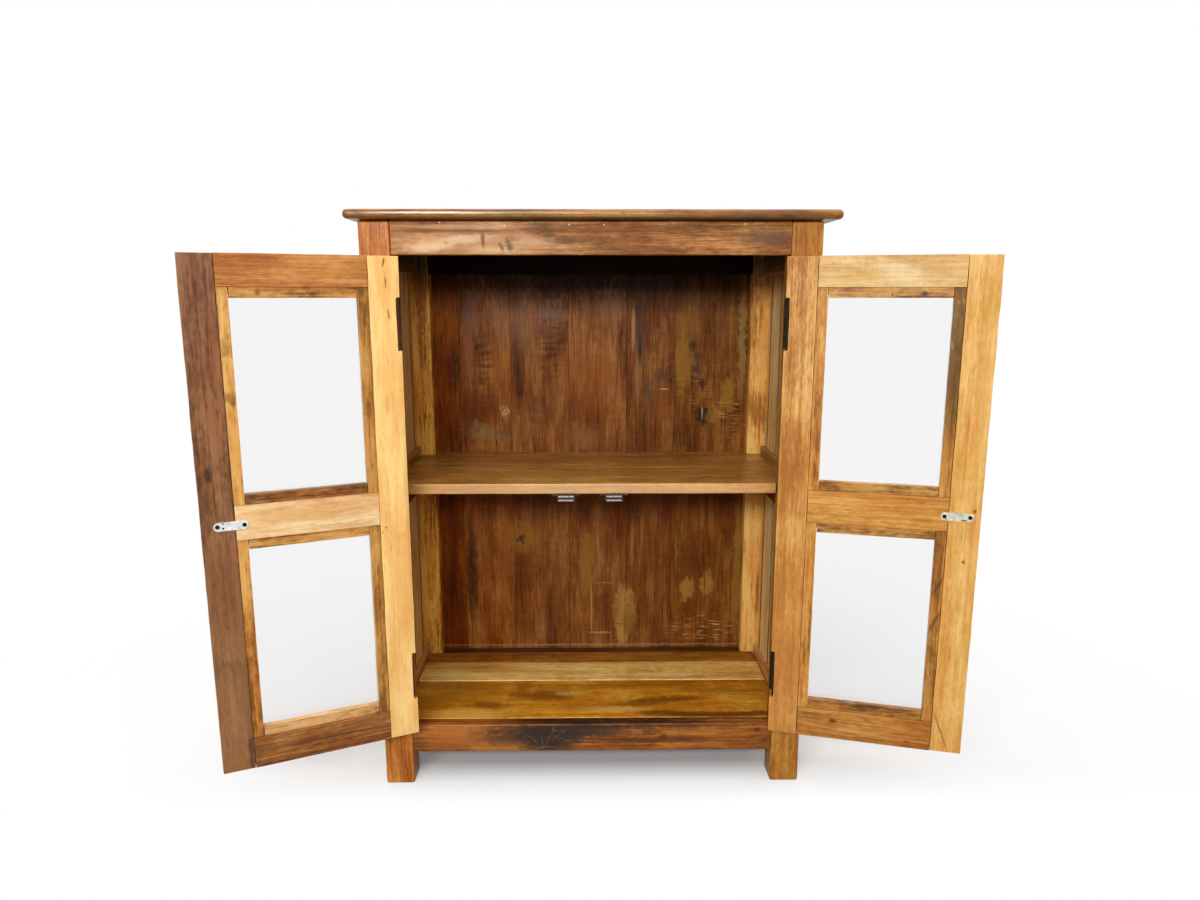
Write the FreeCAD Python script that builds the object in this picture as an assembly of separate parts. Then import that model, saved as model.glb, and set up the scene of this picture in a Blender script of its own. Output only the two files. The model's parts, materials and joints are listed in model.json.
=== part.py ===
import FreeCAD, Part
import os

# Glass-front cabinet: a post-and-rail carcass with a shelf and two glazed doors, in millimetres.
# The origin is on the floor midway between the four posts. The front faces -Y, +X is the
# right-hand side seen from the front, and +Z is up.
# Right-hand pieces are drawn first and mirrored for the left. The doors are drawn shut and then
# swung on their hinge pins to the pose in which the cabinet stands open.

# Carcass frame
body_width = 758.0
body_depth = 384.0
post_height = 1000.0
front_post_width = 52.0
back_post_width = 54.0
post_depth = 52.0
foot_height = 63.0
foot_chamfer = 4.0
front_rail_thickness = 26.0
front_top_rail_height = 55.0
front_bottom_rail_height = 53.0
side_rail_thickness = 26.0
side_top_rail_height = 79.0
side_mid_rail_height = 70.0
side_mid_rail_lip = 17.0
side_bottom_rail_lip = 18.0
back_rail_thickness = 26.0
back_top_rail_height = 79.0

# Joinery
tenon_length = 24.0
tenon_thickness = 10.0
shoulder_margin = 2.0
groove_depth = 8.0
fit_clearance = 0.2
piece_gap = 1.0

# Boards
side_board_thickness = 10.0
side_board_gap = 4.0
side_board_shares = (0.295, 0.295, 0.295, 0.115)
back_board_thickness = 14.0
back_board_gap = 0.4
back_board_shares = (0.09, 0.16, 0.18, 0.18, 0.15, 0.24)
back_recess = 15.0
tongue_length = 5.0
tongue_thickness_share = 0.34

# Top
top_thickness = 16.0
top_overhang_left = 19.0
top_overhang_right = 26.0
top_overhang_front = 24.0
top_overhang_back = 8.0
top_edge_round_share = 0.45
top_corner_excess = 3.0

# Shelf and floor
shelf_rise = 440.0
shelf_thickness = 19.0
shelf_setback = 36.0
shelf_cleat_height = 28.0
cleat_width = 22.0
floor_thickness = 16.0
floor_board_shares = (0.53, 0.29, 0.18)
floor_cleat_height = 20.0

# Doors
door_thickness = 26.0
door_hinge_gap = 2.5
door_end_gap = 2.5
door_meeting_gap = 4.0
door_stile_width = 50.0
door_top_rail_height = 49.0
door_mid_rail_height = 55.0
door_mid_rail_lip = 5.0
door_bottom_rail_height = 52.0
door_tenon_length = 34.0
door_tenon_thickness = 8.0
door_tenon_shoulder = 6.0
left_door_open_angle = 154.7
right_door_open_angle = 164.3

# Glazing
lip_thickness = 8.0
lip_width = 12.0
glass_thickness = 3.0
bead_width = 17.0
bead_thickness = 12.0
bead_gap = 0.4

# Hinges
hinge_length = 80.0
hinge_inset = 68.0
hinge_mortise_slack = 2.0
leaf_width = 25.0
leaf_thickness = 2.0
barrel_radius = 4.5
barrel_stand_off = 0.1
knuckle_shares = (0.2, 0.2, 0.2, 0.2, 0.2)
knuckle_gap = 0.3
pin_radius = 2.2
pin_clearance = 0.08
pin_head_radius = 3.4
pin_head_height = 1.2
hinge_screw_height_shares = (0.14, 0.5, 0.86)
hinge_screw_depth_shares = (0.42, 0.7, 0.42)

# Screws and nails
screw_radius = 1.7
screw_head_radius = 3.3
screw_length = 16.0
screw_clearance = 0.1
strike_screw_length = 11.0
catch_screw_length = 12.0
nail_radius = 1.2
nail_head_radius = 3.0
nail_head_height = 0.8
nail_length = 30.0
nail_width_shares = (0.22, 0.78)

# Magnetic catches and strike plates
catch_width = 31.0
catch_height = 12.0
catch_hold = 16.0
catch_ear_length = 9.0
catch_ear_depth = 11.0
catch_ear_thickness = 3.5
pole_length = 26.0
pole_thickness = 2.6
pole_spacing = 7.0
pole_depth = 15.0
pole_projection = 2.3
strike_length = 51.0
strike_height = 14.0
strike_thickness = 1.2
strike_gap = 0.4
strike_screw_inset = 6.0
left_strike_inset = 43.7
right_strike_inset = 36.7

# Knobs
knob_rise = 44.0
knob_projection = 26.0
knob_radius = 13.0
knob_foot_radius = 9.0
knob_neck_radius = 6.0
knob_tenon_radius = 5.0
knob_tenon_length = 13.0

# Planes and heights that the pieces share
half_width = body_width / 2
front = -body_depth / 2
back = body_depth / 2
opening_half = half_width - front_post_width
back_opening_half = half_width - back_post_width
side_inner = half_width - side_rail_thickness
side_middle = half_width - side_rail_thickness / 2
side_front = front + post_depth
side_back = back - post_depth
floor_top = foot_height + front_bottom_rail_height
floor_bottom = floor_top - floor_thickness
shelf_top = floor_top + shelf_rise
shelf_bottom = shelf_top - shelf_thickness
shelf_front = front + shelf_setback
opening_top = post_height - front_top_rail_height
back_board_rear = back - back_recess
back_board_face = back_board_rear - back_board_thickness
back_rail_face = back_board_face - back_rail_thickness
shoulder = groove_depth + shoulder_margin

door_hinge_edge = opening_half - door_hinge_gap
door_meeting_edge = door_meeting_gap / 2
door_bottom = floor_top + door_end_gap
door_top = opening_top - door_end_gap
door_inner_face = front + door_thickness
lip_face = front + lip_thickness
mid_rail_top = shelf_top + door_mid_rail_lip
mid_rail_bottom = mid_rail_top - door_mid_rail_height
window_meeting_edge = door_meeting_edge + door_stile_width
window_hinge_edge = door_hinge_edge - door_stile_width

hinge_axis_x = opening_half - barrel_radius
hinge_axis_y = front - barrel_radius - barrel_stand_off
door_leaf_seat = hinge_axis_x - barrel_radius
lower_hinge_bottom = door_bottom + hinge_inset
upper_hinge_bottom = door_top - hinge_inset - hinge_length
hinge_bottoms = (lower_hinge_bottom, upper_hinge_bottom)

strike_face = door_inner_face + strike_thickness
pole_front = strike_face + strike_gap
catch_front = pole_front + pole_projection
catch_back = shelf_front + catch_hold
catch_middle_z = shelf_bottom - catch_height / 2

X_AXIS = FreeCAD.Vector(1, 0, 0)
Y_AXIS = FreeCAD.Vector(0, 1, 0)
Z_AXIS = FreeCAD.Vector(0, 0, 1)
ORIGIN = FreeCAD.Vector(0, 0, 0)


# Small helpers

def block(x, y, z):
    """A box between a low and a high value along each axis."""
    corner = FreeCAD.Vector(x[0], y[0], z[0])
    return Part.makeBox(x[1] - x[0], y[1] - y[0], z[1] - z[0], corner)


def about(middle, half):
    return (middle - half, middle + half)


def joined(pieces):
    return pieces[0].fuse(pieces[1:]).removeSplitter()


def carved(solid, tools):
    return solid.cut(tools).removeSplitter()


def group(solids):
    return Part.makeCompound(solids)


def mirrored(shape):
    """The left-hand copy of a right-hand shape."""
    return shape.mirror(ORIGIN, X_AXIS)


def split(low, high, shares, gap):
    """Neighbouring spans from low to high, in the given shares, with a gap at each joint."""
    spans = []
    start = low
    for index, share in enumerate(shares):
        end = start + (high - low) * share
        first = start if index == 0 else start + gap / 2
        last = end if index == len(shares) - 1 else end - gap / 2
        spans.append((first, last))
        start = end
    return spans


def save(name, shape):
    shape.exportStep(f"parts/{name}.step")


# Rails of the carcass, each as its spans along X, Y and Z between the posts

front_rail_y = (front, front + front_rail_thickness)
back_rail_y = (back_rail_face, back_board_face)
side_rail_x = (side_inner, half_width)
side_rail_y = (side_front, side_back)
side_bottom_rail_top = floor_top + side_bottom_rail_lip
side_mid_rail_top = shelf_top + side_mid_rail_lip
side_mid_rail_bottom = side_mid_rail_top - side_mid_rail_height
side_top_rail_bottom = post_height - side_top_rail_height

front_rails = {
    "front_top_rail": ((-opening_half, opening_half), front_rail_y, (opening_top, post_height)),
    "front_bottom_rail": ((-opening_half, opening_half), front_rail_y, (foot_height, floor_top)),
}
back_rail_x = (-back_opening_half, back_opening_half)
back_rails = {
    "back_top_rail": (back_rail_x, back_rail_y, (post_height - back_top_rail_height, post_height)),
    "back_bottom_rail": (back_rail_x, back_rail_y, (foot_height, floor_top)),
}
side_rails = {
    "side_top_rail": (side_rail_x, side_rail_y, (side_top_rail_bottom, post_height)),
    "side_mid_rail": (side_rail_x, side_rail_y, (side_mid_rail_bottom, side_mid_rail_top)),
    "side_bottom_rail": (side_rail_x, side_rail_y, (foot_height, side_bottom_rail_top)),
}
side_panels = {
    "side_upper_boards": (side_mid_rail_top, side_top_rail_bottom),
    "side_lower_boards": (side_bottom_rail_top, side_mid_rail_bottom),
}


def tenons(spans, along, slack):
    """The two end tenons of a rail that runs along X (0) or Y (1), or their mortises with slack."""
    across = 1 - along
    thickness = about(sum(spans[across]) / 2, tenon_thickness / 2 + slack)
    height = (spans[2][0] + shoulder - slack, spans[2][1] - shoulder + slack)
    low, high = spans[along]
    reach = tenon_length + slack
    ends = []
    for run in ((low - reach, low), (high, high + reach)):
        sides = {along: run, across: thickness}
        ends.append(block(sides[0], sides[1], height))
    return ends


def panel_groove(z):
    """The space that a side panel's boards take up, with the grooves all round it."""
    x = about(side_middle, side_board_thickness / 2 + fit_clearance)
    y = (side_front - groove_depth, side_back + groove_depth)
    return block(x, y, (z[0] - groove_depth, z[1] + groove_depth))


panel_grooves = [panel_groove(z) for z in side_panels.values()]


# Screws and nails

def screw(head, direction, length, slack):
    """A countersunk wood screw, or the hole for it with slack, from the middle of its head."""
    head_height = screw_head_radius - screw_radius
    cone = Part.makeCone(screw_head_radius + slack, screw_radius + slack, head_height, head, direction)
    shank = Part.makeCylinder(screw_radius + slack, length + slack, head, direction)
    return joined([cone, shank])


def hinge_screw_heads(face_x, bottom):
    """Head points of one leaf's screws, on the leaf's face at face_x."""
    heads = []
    for height_share, depth_share in zip(hinge_screw_height_shares, hinge_screw_depth_shares):
        y = front + leaf_width * depth_share
        heads.append(FreeCAD.Vector(face_x, y, bottom + hinge_length * height_share))
    return heads


frame_leaf_face = opening_half - leaf_thickness
door_leaf_face = door_leaf_seat + leaf_thickness
frame_screw_heads = [p for z in hinge_bottoms for p in hinge_screw_heads(frame_leaf_face, z)]
door_screw_heads = [p for z in hinge_bottoms for p in hinge_screw_heads(door_leaf_face, z)]
frame_screw_holes = [screw(p, X_AXIS, screw_length, screw_clearance) for p in frame_screw_heads]
door_screw_holes = [screw(p, -X_AXIS, screw_length, screw_clearance) for p in door_screw_heads]

back_board_spans = split(
    -back_opening_half - groove_depth + fit_clearance,
    back_opening_half + groove_depth - fit_clearance,
    back_board_shares,
    back_board_gap,
)


def nail_points():
    """Where the back boards are nailed to the back rails, on the boards' rear face."""
    points = []
    for spans in back_rails.values():
        height = sum(spans[2]) / 2
        for low, high in back_board_spans:
            for share in nail_width_shares:
                points.append(FreeCAD.Vector(low + (high - low) * share, back_board_rear, height))
    return points


def nail_shank(point, slack):
    return Part.makeCylinder(nail_radius + slack, nail_length + slack, point, -Y_AXIS)


def nail(point):
    head = Part.makeCylinder(nail_head_radius, nail_head_height, point, Y_AXIS)
    return joined([head, nail_shank(point, 0)])


nail_holes = [nail_shank(p, screw_clearance) for p in nail_points()]


# Carcass pieces

def front_post():
    post = block((opening_half, half_width), (front, side_front), (0, post_height))
    soles = [edge for edge in post.Edges if edge.BoundBox.ZMax <= foot_chamfer]
    post = post.makeChamfer(foot_chamfer, soles)
    mortises = [tenons(spans, 0, fit_clearance)[1] for spans in front_rails.values()]
    mortises += [tenons(spans, 1, fit_clearance)[0] for spans in side_rails.values()]
    return carved(post, mortises + panel_grooves + frame_screw_holes)


def back_post():
    post = block((back_opening_half, half_width), (side_back, back), (0, post_height))
    soles = [edge for edge in post.Edges if edge.BoundBox.ZMax <= foot_chamfer]
    post = post.makeChamfer(foot_chamfer, soles)
    mortises = [tenons(spans, 0, fit_clearance)[1] for spans in back_rails.values()]
    mortises += [tenons(spans, 1, fit_clearance)[1] for spans in side_rails.values()]
    groove_x = (back_opening_half, back_opening_half + groove_depth)
    groove_y = (back_board_face, back_board_rear + fit_clearance)
    groove = block(groove_x, groove_y, (foot_height, post_height))
    return carved(post, mortises + panel_grooves + [groove])


def rail(spans, along):
    return joined([block(*spans)] + tenons(spans, along, 0))


def upright(along, run, thickness, height):
    """A box whose run lies along X (0) or Y (1) and whose thickness lies along the other."""
    sides = {along: run, 1 - along: thickness}
    return block(sides[0], sides[1], height)


def tongued_boards(along, spans, thickness, height):
    """Upright boards side by side, each with a tongue in its neighbour's groove."""
    middle = sum(thickness) / 2
    tongue_half = (thickness[1] - thickness[0]) * tongue_thickness_share / 2
    boards = []
    for index, (low, high) in enumerate(spans):
        board = upright(along, (low, high), thickness, height)
        if index > 0:
            run = (low, low + tongue_length + fit_clearance)
            groove = upright(along, run, about(middle, tongue_half + fit_clearance), height)
            board = carved(board, [groove])
        if index < len(spans) - 1:
            run = (high, spans[index + 1][0] + tongue_length)
            board = joined([board, upright(along, run, about(middle, tongue_half), height)])
        boards.append(board)
    return boards


def side_boards(z):
    """A side panel's boards, standing in the groove of the rail below them."""
    start = side_front - groove_depth + fit_clearance
    end = side_back + groove_depth - fit_clearance
    spans = split(start, end, side_board_shares, side_board_gap)
    height = (z[0] - groove_depth, z[1] + groove_depth - fit_clearance)
    return group(tongued_boards(1, spans, about(side_middle, side_board_thickness / 2), height))


def back_boards():
    thickness = (back_board_face, back_board_rear)
    boards = tongued_boards(0, back_board_spans, thickness, (foot_height, post_height))
    return group([carved(board, nail_holes) for board in boards])


def top_board():
    """The top, with rounded corners and a rounded edge all round."""
    x = (-half_width - top_overhang_left, half_width + top_overhang_right)
    y = (front - top_overhang_front, back + top_overhang_back)
    edge_round = top_thickness * top_edge_round_share
    board = block(x, y, (post_height, post_height + top_thickness))
    uprights = [edge for edge in board.Edges if edge.BoundBox.ZLength > top_thickness / 2]
    board = board.makeFillet(edge_round + top_corner_excess, uprights)
    rims = [edge for edge in board.Edges if edge.BoundBox.ZLength < top_thickness / 2]
    return board.makeFillet(edge_round, rims)


def post_corners(z):
    """The room round the four posts that the shelf and floor boards leave clear."""
    outer = half_width + piece_gap
    corners = []
    for inner, y in (
        (opening_half - piece_gap, (front - piece_gap, side_front + piece_gap)),
        (back_opening_half - piece_gap, (side_back - piece_gap, back + piece_gap)),
    ):
        corners.append(block((inner, outer), y, z))
        corners.append(block((-outer, -inner), y, z))
    return corners


def lying_board(y, z):
    """A board that spans the cabinet between its side rails, notched round the posts."""
    end = side_inner - piece_gap
    return carved(block((-end, end), y, z), post_corners(z))


def shelf():
    board = lying_board((shelf_front, back_board_face), (shelf_bottom, shelf_top))
    holes = [hole for centre in catch_centres for hole in catch_screws(centre, screw_clearance)]
    return carved(board, holes)


def floor_boards():
    names = ("floor_front_board", "floor_middle_board", "floor_rear_board")
    spans = split(front_rail_y[1], back_rail_face, floor_board_shares, piece_gap)
    return {name: lying_board(y, (floor_bottom, floor_top)) for name, y in zip(names, spans)}


def shelf_cleats():
    z = (shelf_bottom - shelf_cleat_height, shelf_bottom)
    right = block((side_inner - cleat_width, side_inner), side_rail_y, z)
    return group([right, mirrored(right)])


def floor_cleats():
    """Ledges for the floor boards along the side, front and back rails."""
    z = (floor_bottom - floor_cleat_height, floor_bottom)
    right = block((side_inner - cleat_width, side_inner), side_rail_y, z)
    across = about(0, side_inner - cleat_width - piece_gap)
    between_posts = about(0, opening_half - piece_gap)
    front_ledge = block(between_posts, (front_rail_y[1], front_rail_y[1] + cleat_width), z)
    back_ledge = block(across, (back_rail_face - cleat_width, back_rail_face), z)
    return group([right, mirrored(right), front_ledge, back_ledge])


# Magnetic catches

catch_centres = (-door_meeting_edge - left_strike_inset, door_meeting_edge + right_strike_inset)
ear_y = (catch_back - catch_ear_depth, catch_back)
ear_z = (shelf_bottom - catch_ear_thickness, shelf_bottom)


def catch_screws(centre, slack):
    reach = catch_width / 2 + catch_ear_length / 2
    heads = [FreeCAD.Vector(centre + side * reach, sum(ear_y) / 2, ear_z[0]) for side in (-1, 1)]
    return [screw(head, Z_AXIS, catch_screw_length, slack) for head in heads]


def pole_plates(centre):
    x = about(centre, pole_length / 2)
    y = (pole_front, pole_front + pole_depth)
    heights = (catch_middle_z - pole_spacing / 2, catch_middle_z + pole_spacing / 2)
    return [block(x, y, about(z, pole_thickness / 2)) for z in heights]


def magnet(centre):
    y = (catch_front, pole_front + pole_depth)
    z = about(catch_middle_z, (pole_spacing - pole_thickness) / 2)
    return block(about(centre, pole_length / 2), y, z)


def catch_housing(centre):
    case_z = (shelf_bottom - catch_height, shelf_bottom)
    case = block(about(centre, catch_width / 2), (catch_front, catch_back), case_z)
    ears = block(about(centre, catch_width / 2 + catch_ear_length), ear_y, ear_z)
    pocket_y = (catch_front, pole_front + pole_depth + fit_clearance)
    pocket_z = about(catch_middle_z, (pole_spacing + pole_thickness) / 2 + fit_clearance)
    pocket = block(about(centre, pole_length / 2 + fit_clearance), pocket_y, pocket_z)
    return carved(joined([case, ears]), [pocket] + catch_screws(centre, screw_clearance))


# Hinges

def leaf(bottom, face_x, seat_x, knuckles, screw_holes):
    """One hinge leaf with its own knuckles. The leaf lies between face_x and seat_x."""
    x = (min(face_x, seat_x), max(face_x, seat_x))
    pieces = [block(x, (front, front + leaf_width), (bottom, bottom + hinge_length))]
    heights = split(bottom, bottom + hinge_length, knuckle_shares, knuckle_gap)
    axis = FreeCAD.Vector(hinge_axis_x, hinge_axis_y, bottom)
    for index in knuckles:
        low, high = heights[index]
        foot = FreeCAD.Vector(hinge_axis_x, hinge_axis_y, low)
        pieces.append(Part.makeCylinder(barrel_radius, high - low, foot))
        pieces.append(block(x, (hinge_axis_y, front), (low, high)))
    bore = Part.makeCylinder(pin_radius + pin_clearance, hinge_length, axis)
    return carved(joined(pieces), [bore] + screw_holes)


def frame_leaves():
    return [leaf(z, frame_leaf_face, opening_half, (0, 2, 4), frame_screw_holes) for z in hinge_bottoms]


def door_leaves():
    return [leaf(z, door_leaf_face, door_leaf_seat, (1, 3), door_screw_holes) for z in hinge_bottoms]


def hinge_pin(bottom):
    foot = FreeCAD.Vector(hinge_axis_x, hinge_axis_y, bottom)
    top = FreeCAD.Vector(hinge_axis_x, hinge_axis_y, bottom + hinge_length)
    rod = Part.makeCylinder(pin_radius, hinge_length, foot)
    return joined([rod, Part.makeCylinder(pin_head_radius, pin_head_height, top)])


# Doors, drawn shut on the right-hand side

lip_y = (front, lip_face)
frame_y = (lip_face, door_inner_face)
rail_bands = {
    "top_rail": (door_top - door_top_rail_height, door_top),
    "mid_rail": (mid_rail_bottom, mid_rail_top),
    "bottom_rail": (door_bottom, door_bottom + door_bottom_rail_height),
}
windows = {
    "upper": (mid_rail_top, door_top - door_top_rail_height),
    "lower": (door_bottom + door_bottom_rail_height, mid_rail_bottom),
}
knob_x = door_meeting_edge + (door_stile_width + lip_width) / 2
knob_z = mid_rail_top + knob_rise


def door_tenons(band, slack):
    """The two end tenons of a door rail, or their mortises with slack."""
    y = about(sum(frame_y) / 2, door_tenon_thickness / 2 + slack)
    z = (band[0] + door_tenon_shoulder - slack, band[1] - door_tenon_shoulder + slack)
    reach = door_tenon_length + slack
    runs = (
        (window_meeting_edge - reach, window_meeting_edge),
        (window_hinge_edge, window_hinge_edge + reach),
    )
    return [block(x, y, z) for x in runs]


def door_rail(band):
    """A door rail with the lip that the glass bears on along each window edge."""
    low = band[0] if band[0] == door_bottom else band[0] - lip_width
    high = band[1] if band[1] == door_top else band[1] + lip_width
    lip_x = (window_meeting_edge + lip_width, window_hinge_edge - lip_width)
    body = block((window_meeting_edge, window_hinge_edge), frame_y, band)
    return joined([body, block(lip_x, lip_y, (low, high))] + door_tenons(band, 0))


def meeting_stile(strike_inset):
    z = (door_bottom, door_top)
    body = block((door_meeting_edge, window_meeting_edge), frame_y, z)
    lip = block((door_meeting_edge, window_meeting_edge + lip_width), lip_y, z)
    holes = [door_tenons(band, fit_clearance)[0] for band in rail_bands.values()]
    holes += strike_screws(strike_inset, screw_clearance)
    socket_radius = knob_tenon_radius + fit_clearance
    socket_depth = knob_tenon_length + fit_clearance
    mouth = FreeCAD.Vector(knob_x, front, knob_z)
    holes.append(Part.makeCylinder(socket_radius, socket_depth, mouth, Y_AXIS))
    return carved(joined([body, lip]), holes)


def hinge_stile():
    z = (door_bottom, door_top)
    body = block((window_hinge_edge, door_hinge_edge), frame_y, z)
    lip = block((window_hinge_edge - lip_width, door_hinge_edge), lip_y, z)
    cuts = [door_tenons(band, fit_clearance)[1] for band in rail_bands.values()]
    for bottom in hinge_bottoms:
        height = (bottom - hinge_mortise_slack, bottom + hinge_length + hinge_mortise_slack)
        cuts.append(block((door_leaf_seat, door_hinge_edge), (front, door_inner_face), height))
    return carved(joined([body, lip]), cuts + door_screw_holes)


def pane(z):
    x = (window_meeting_edge + fit_clearance, window_hinge_edge - fit_clearance)
    return block(x, (lip_face, lip_face + glass_thickness), (z[0], z[1] - fit_clearance))


def beads(z):
    """Four strips that hold a pane: two full-height uprights with the others between them."""
    y = (lip_face + glass_thickness, lip_face + glass_thickness + bead_thickness)
    left = (window_meeting_edge, window_meeting_edge + bead_width)
    right = (window_hinge_edge - bead_width, window_hinge_edge)
    between = (left[1] + bead_gap, right[0] - bead_gap)
    lower = (z[0], z[0] + bead_width)
    upper = (z[1] - bead_width, z[1])
    strips = ((left, z), (right, z), (between, lower), (between, upper))
    return [block(x, y, height) for x, height in strips]


def strike_screws(inset, slack):
    reach = strike_length / 2 - strike_screw_inset
    centre = door_meeting_edge + inset
    heads = [FreeCAD.Vector(centre + side * reach, strike_face, catch_middle_z) for side in (-1, 1)]
    return [screw(head, -Y_AXIS, strike_screw_length, slack) for head in heads]


def strike_plate(inset):
    """A flat keeper with round ends on the inner face of the door."""
    centre = door_meeting_edge + inset
    radius = strike_height / 2
    reach = strike_length / 2 - radius
    y = (door_inner_face, strike_face)
    pieces = [block(about(centre, reach), y, about(catch_middle_z, radius))]
    for side in (-1, 1):
        foot = FreeCAD.Vector(centre + side * reach, door_inner_face, catch_middle_z)
        pieces.append(Part.makeCylinder(radius, strike_thickness, foot, Y_AXIS))
    return carved(joined(pieces), strike_screws(inset, screw_clearance))


def knob():
    """A turned knob with a flared foot, a round head and a tenon in the stile."""
    seat = FreeCAD.Vector(knob_x, front, knob_z)
    head_depth = knob_projection - knob_radius
    neck = Part.makeCone(knob_foot_radius, knob_neck_radius, head_depth, seat, -Y_AXIS)
    head = Part.makeSphere(knob_radius, seat - Y_AXIS * head_depth)
    tenon = Part.makeCylinder(knob_tenon_radius, knob_tenon_length, seat, Y_AXIS)
    return joined([neck, head, tenon])


def shut_door(strike_inset):
    """Every piece of the right-hand door, shut."""
    pieces = {name: door_rail(band) for name, band in rail_bands.items()}
    pieces["mid_rail"] = carved(pieces["mid_rail"], strike_screws(strike_inset, screw_clearance))
    pieces["meeting_stile"] = meeting_stile(strike_inset)
    pieces["hinge_stile"] = hinge_stile()
    for name, z in windows.items():
        pieces[f"{name}_glass"] = pane(z)
    pieces["glazing_beads"] = group([bead for z in windows.values() for bead in beads(z)])
    pieces["strike_plate"] = strike_plate(strike_inset)
    pieces["hinge_leaves"] = group(door_leaves())
    screws = [screw(p, -X_AXIS, screw_length, 0) for p in door_screw_heads]
    pieces["screws"] = group(screws + strike_screws(strike_inset, 0))
    pieces["knob"] = knob()
    return pieces


def swung(shape, side, angle):
    """A shut door's piece turned open about its hinge pin."""
    turned = shape.copy()
    turned.rotate(FreeCAD.Vector(side * hinge_axis_x, hinge_axis_y, 0), Z_AXIS, side * angle)
    return turned


# Build and write every piece

def build():
    pieces = {}
    for name, shape in (("front_right_post", front_post()), ("back_right_post", back_post())):
        pieces[name] = shape
        pieces[name.replace("right", "left")] = mirrored(shape)
    for name, spans in front_rails.items():
        pieces[name] = rail(spans, 0)
    for name, spans in back_rails.items():
        pieces[name] = carved(rail(spans, 0), nail_holes)
    for name, spans in side_rails.items():
        right = carved(rail(spans, 1), panel_grooves)
        pieces[f"right_{name}"] = right
        pieces[f"left_{name}"] = mirrored(right)
    for name, z in side_panels.items():
        right = side_boards(z)
        pieces[f"right_{name}"] = right
        pieces[f"left_{name}"] = mirrored(right)
    pieces["back_boards"] = back_boards()
    pieces["back_nails"] = group([nail(p) for p in nail_points()])
    pieces["top_board"] = top_board()
    pieces["shelf"] = shelf()
    pieces["shelf_cleats"] = shelf_cleats()
    pieces.update(floor_boards())
    pieces["floor_cleats"] = floor_cleats()

    for side, centre in zip(("left", "right"), catch_centres):
        pieces[f"{side}_catch_housing"] = catch_housing(centre)
    pieces["catch_poles"] = group([plate for centre in catch_centres for plate in pole_plates(centre)])
    pieces["catch_magnets"] = group([magnet(centre) for centre in catch_centres])

    right_leaves = group(frame_leaves())
    pieces["right_frame_hinge_leaves"] = right_leaves
    pieces["left_frame_hinge_leaves"] = mirrored(right_leaves)
    right_pins = [hinge_pin(z) for z in hinge_bottoms]
    pieces["hinge_pins"] = group(right_pins + [mirrored(pin) for pin in right_pins])
    right_screws = [screw(p, X_AXIS, screw_length, 0) for p in frame_screw_heads]
    screws = right_screws + [mirrored(item) for item in right_screws]
    screws += [item for centre in catch_centres for item in catch_screws(centre, 0)]
    pieces["frame_screws"] = group(screws)

    for name, shape in shut_door(right_strike_inset).items():
        pieces[f"right_door_{name}"] = swung(shape, 1, right_door_open_angle)
    for name, shape in shut_door(left_strike_inset).items():
        pieces[f"left_door_{name}"] = swung(mirrored(shape), -1, left_door_open_angle)
    return pieces


os.makedirs("parts", exist_ok=True)
for piece_name, piece_shape in build().items():
    save(piece_name, piece_shape)
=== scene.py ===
import itertools
import json
import math
from contextlib import contextmanager

import bmesh
import bpy
from mathutils import Matrix, Vector


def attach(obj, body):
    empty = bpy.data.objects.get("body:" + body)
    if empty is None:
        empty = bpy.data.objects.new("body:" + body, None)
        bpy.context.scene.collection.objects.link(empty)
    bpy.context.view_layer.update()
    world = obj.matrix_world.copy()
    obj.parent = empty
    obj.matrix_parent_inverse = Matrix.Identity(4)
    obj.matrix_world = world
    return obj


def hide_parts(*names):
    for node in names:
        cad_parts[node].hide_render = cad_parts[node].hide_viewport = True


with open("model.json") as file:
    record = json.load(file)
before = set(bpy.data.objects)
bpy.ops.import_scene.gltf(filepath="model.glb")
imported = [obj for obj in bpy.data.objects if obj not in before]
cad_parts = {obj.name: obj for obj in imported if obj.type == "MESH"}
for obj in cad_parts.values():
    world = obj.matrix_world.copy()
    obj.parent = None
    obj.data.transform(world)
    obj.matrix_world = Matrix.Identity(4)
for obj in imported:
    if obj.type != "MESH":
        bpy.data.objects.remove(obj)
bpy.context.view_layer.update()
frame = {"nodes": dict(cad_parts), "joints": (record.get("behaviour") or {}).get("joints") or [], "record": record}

# A glass-front cabinet in reclaimed, varnished teak, in metres. Every board is planed, eased and
# worn in mesh form over the solid that it stands for. Boards of the doors are made shut and then
# swung open, so their sizes and marks are given as on the shut door.

MM = 0.001

# Sizes of the handwork
EDGE_REACH = 5 * MM
EDGE_PROFILE = 0.8
POST_EDGE_REACH = 4.5 * MM
POST_EDGE_PROFILE = 0.55
DOOR_EDGE_REACH = 3 * MM
BEAD_EDGE_REACH = 1.4 * MM
SIDE_EDGE_REACH = 2 * MM
BACK_EDGE_REACH = 0.8 * MM
EASE_LIMIT_SHARE = 0.36
TOP_NOSE_SHARE = 0.45
TOP_CORNER = 10 * MM
EDGE_STEPS = 6
ROUND_STEPS = 8
ROUND_PROFILE = 0.5
DRILL_SIDES = 24
WELD = 0.01 * MM
RING_SPACING = 12 * MM
PLANE_DEPTH = 0.7 * MM
PLANE_SIZE = 60 * MM
SIDE_BOARD_GAP = 7 * MM
BACK_BOARD_GAP = 0.25 * MM
TONGUE_SHARE = 0.3
TONGUE_INSET_SHARE = 0.72
POST_CLEARANCE = 1 * MM
MORTISE_SLACK = 2 * MM
OVERRUN = 1 * MM
BEAD_SHAVE = 0.6 * MM
BEAD_WAVE = 26 * MM
STILE_SHAVE = 1.6 * MM
STILE_WAVE = 34 * MM
FULL_WEAR_BEND = math.radians(20)
SHARP_EDGE = math.radians(40)
SMOOTH_ANGLE = math.radians(60)
AXES = (Vector((1, 0, 0)), Vector((0, 1, 0)), Vector((0, 0, 1)))


# What the frame says

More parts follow.
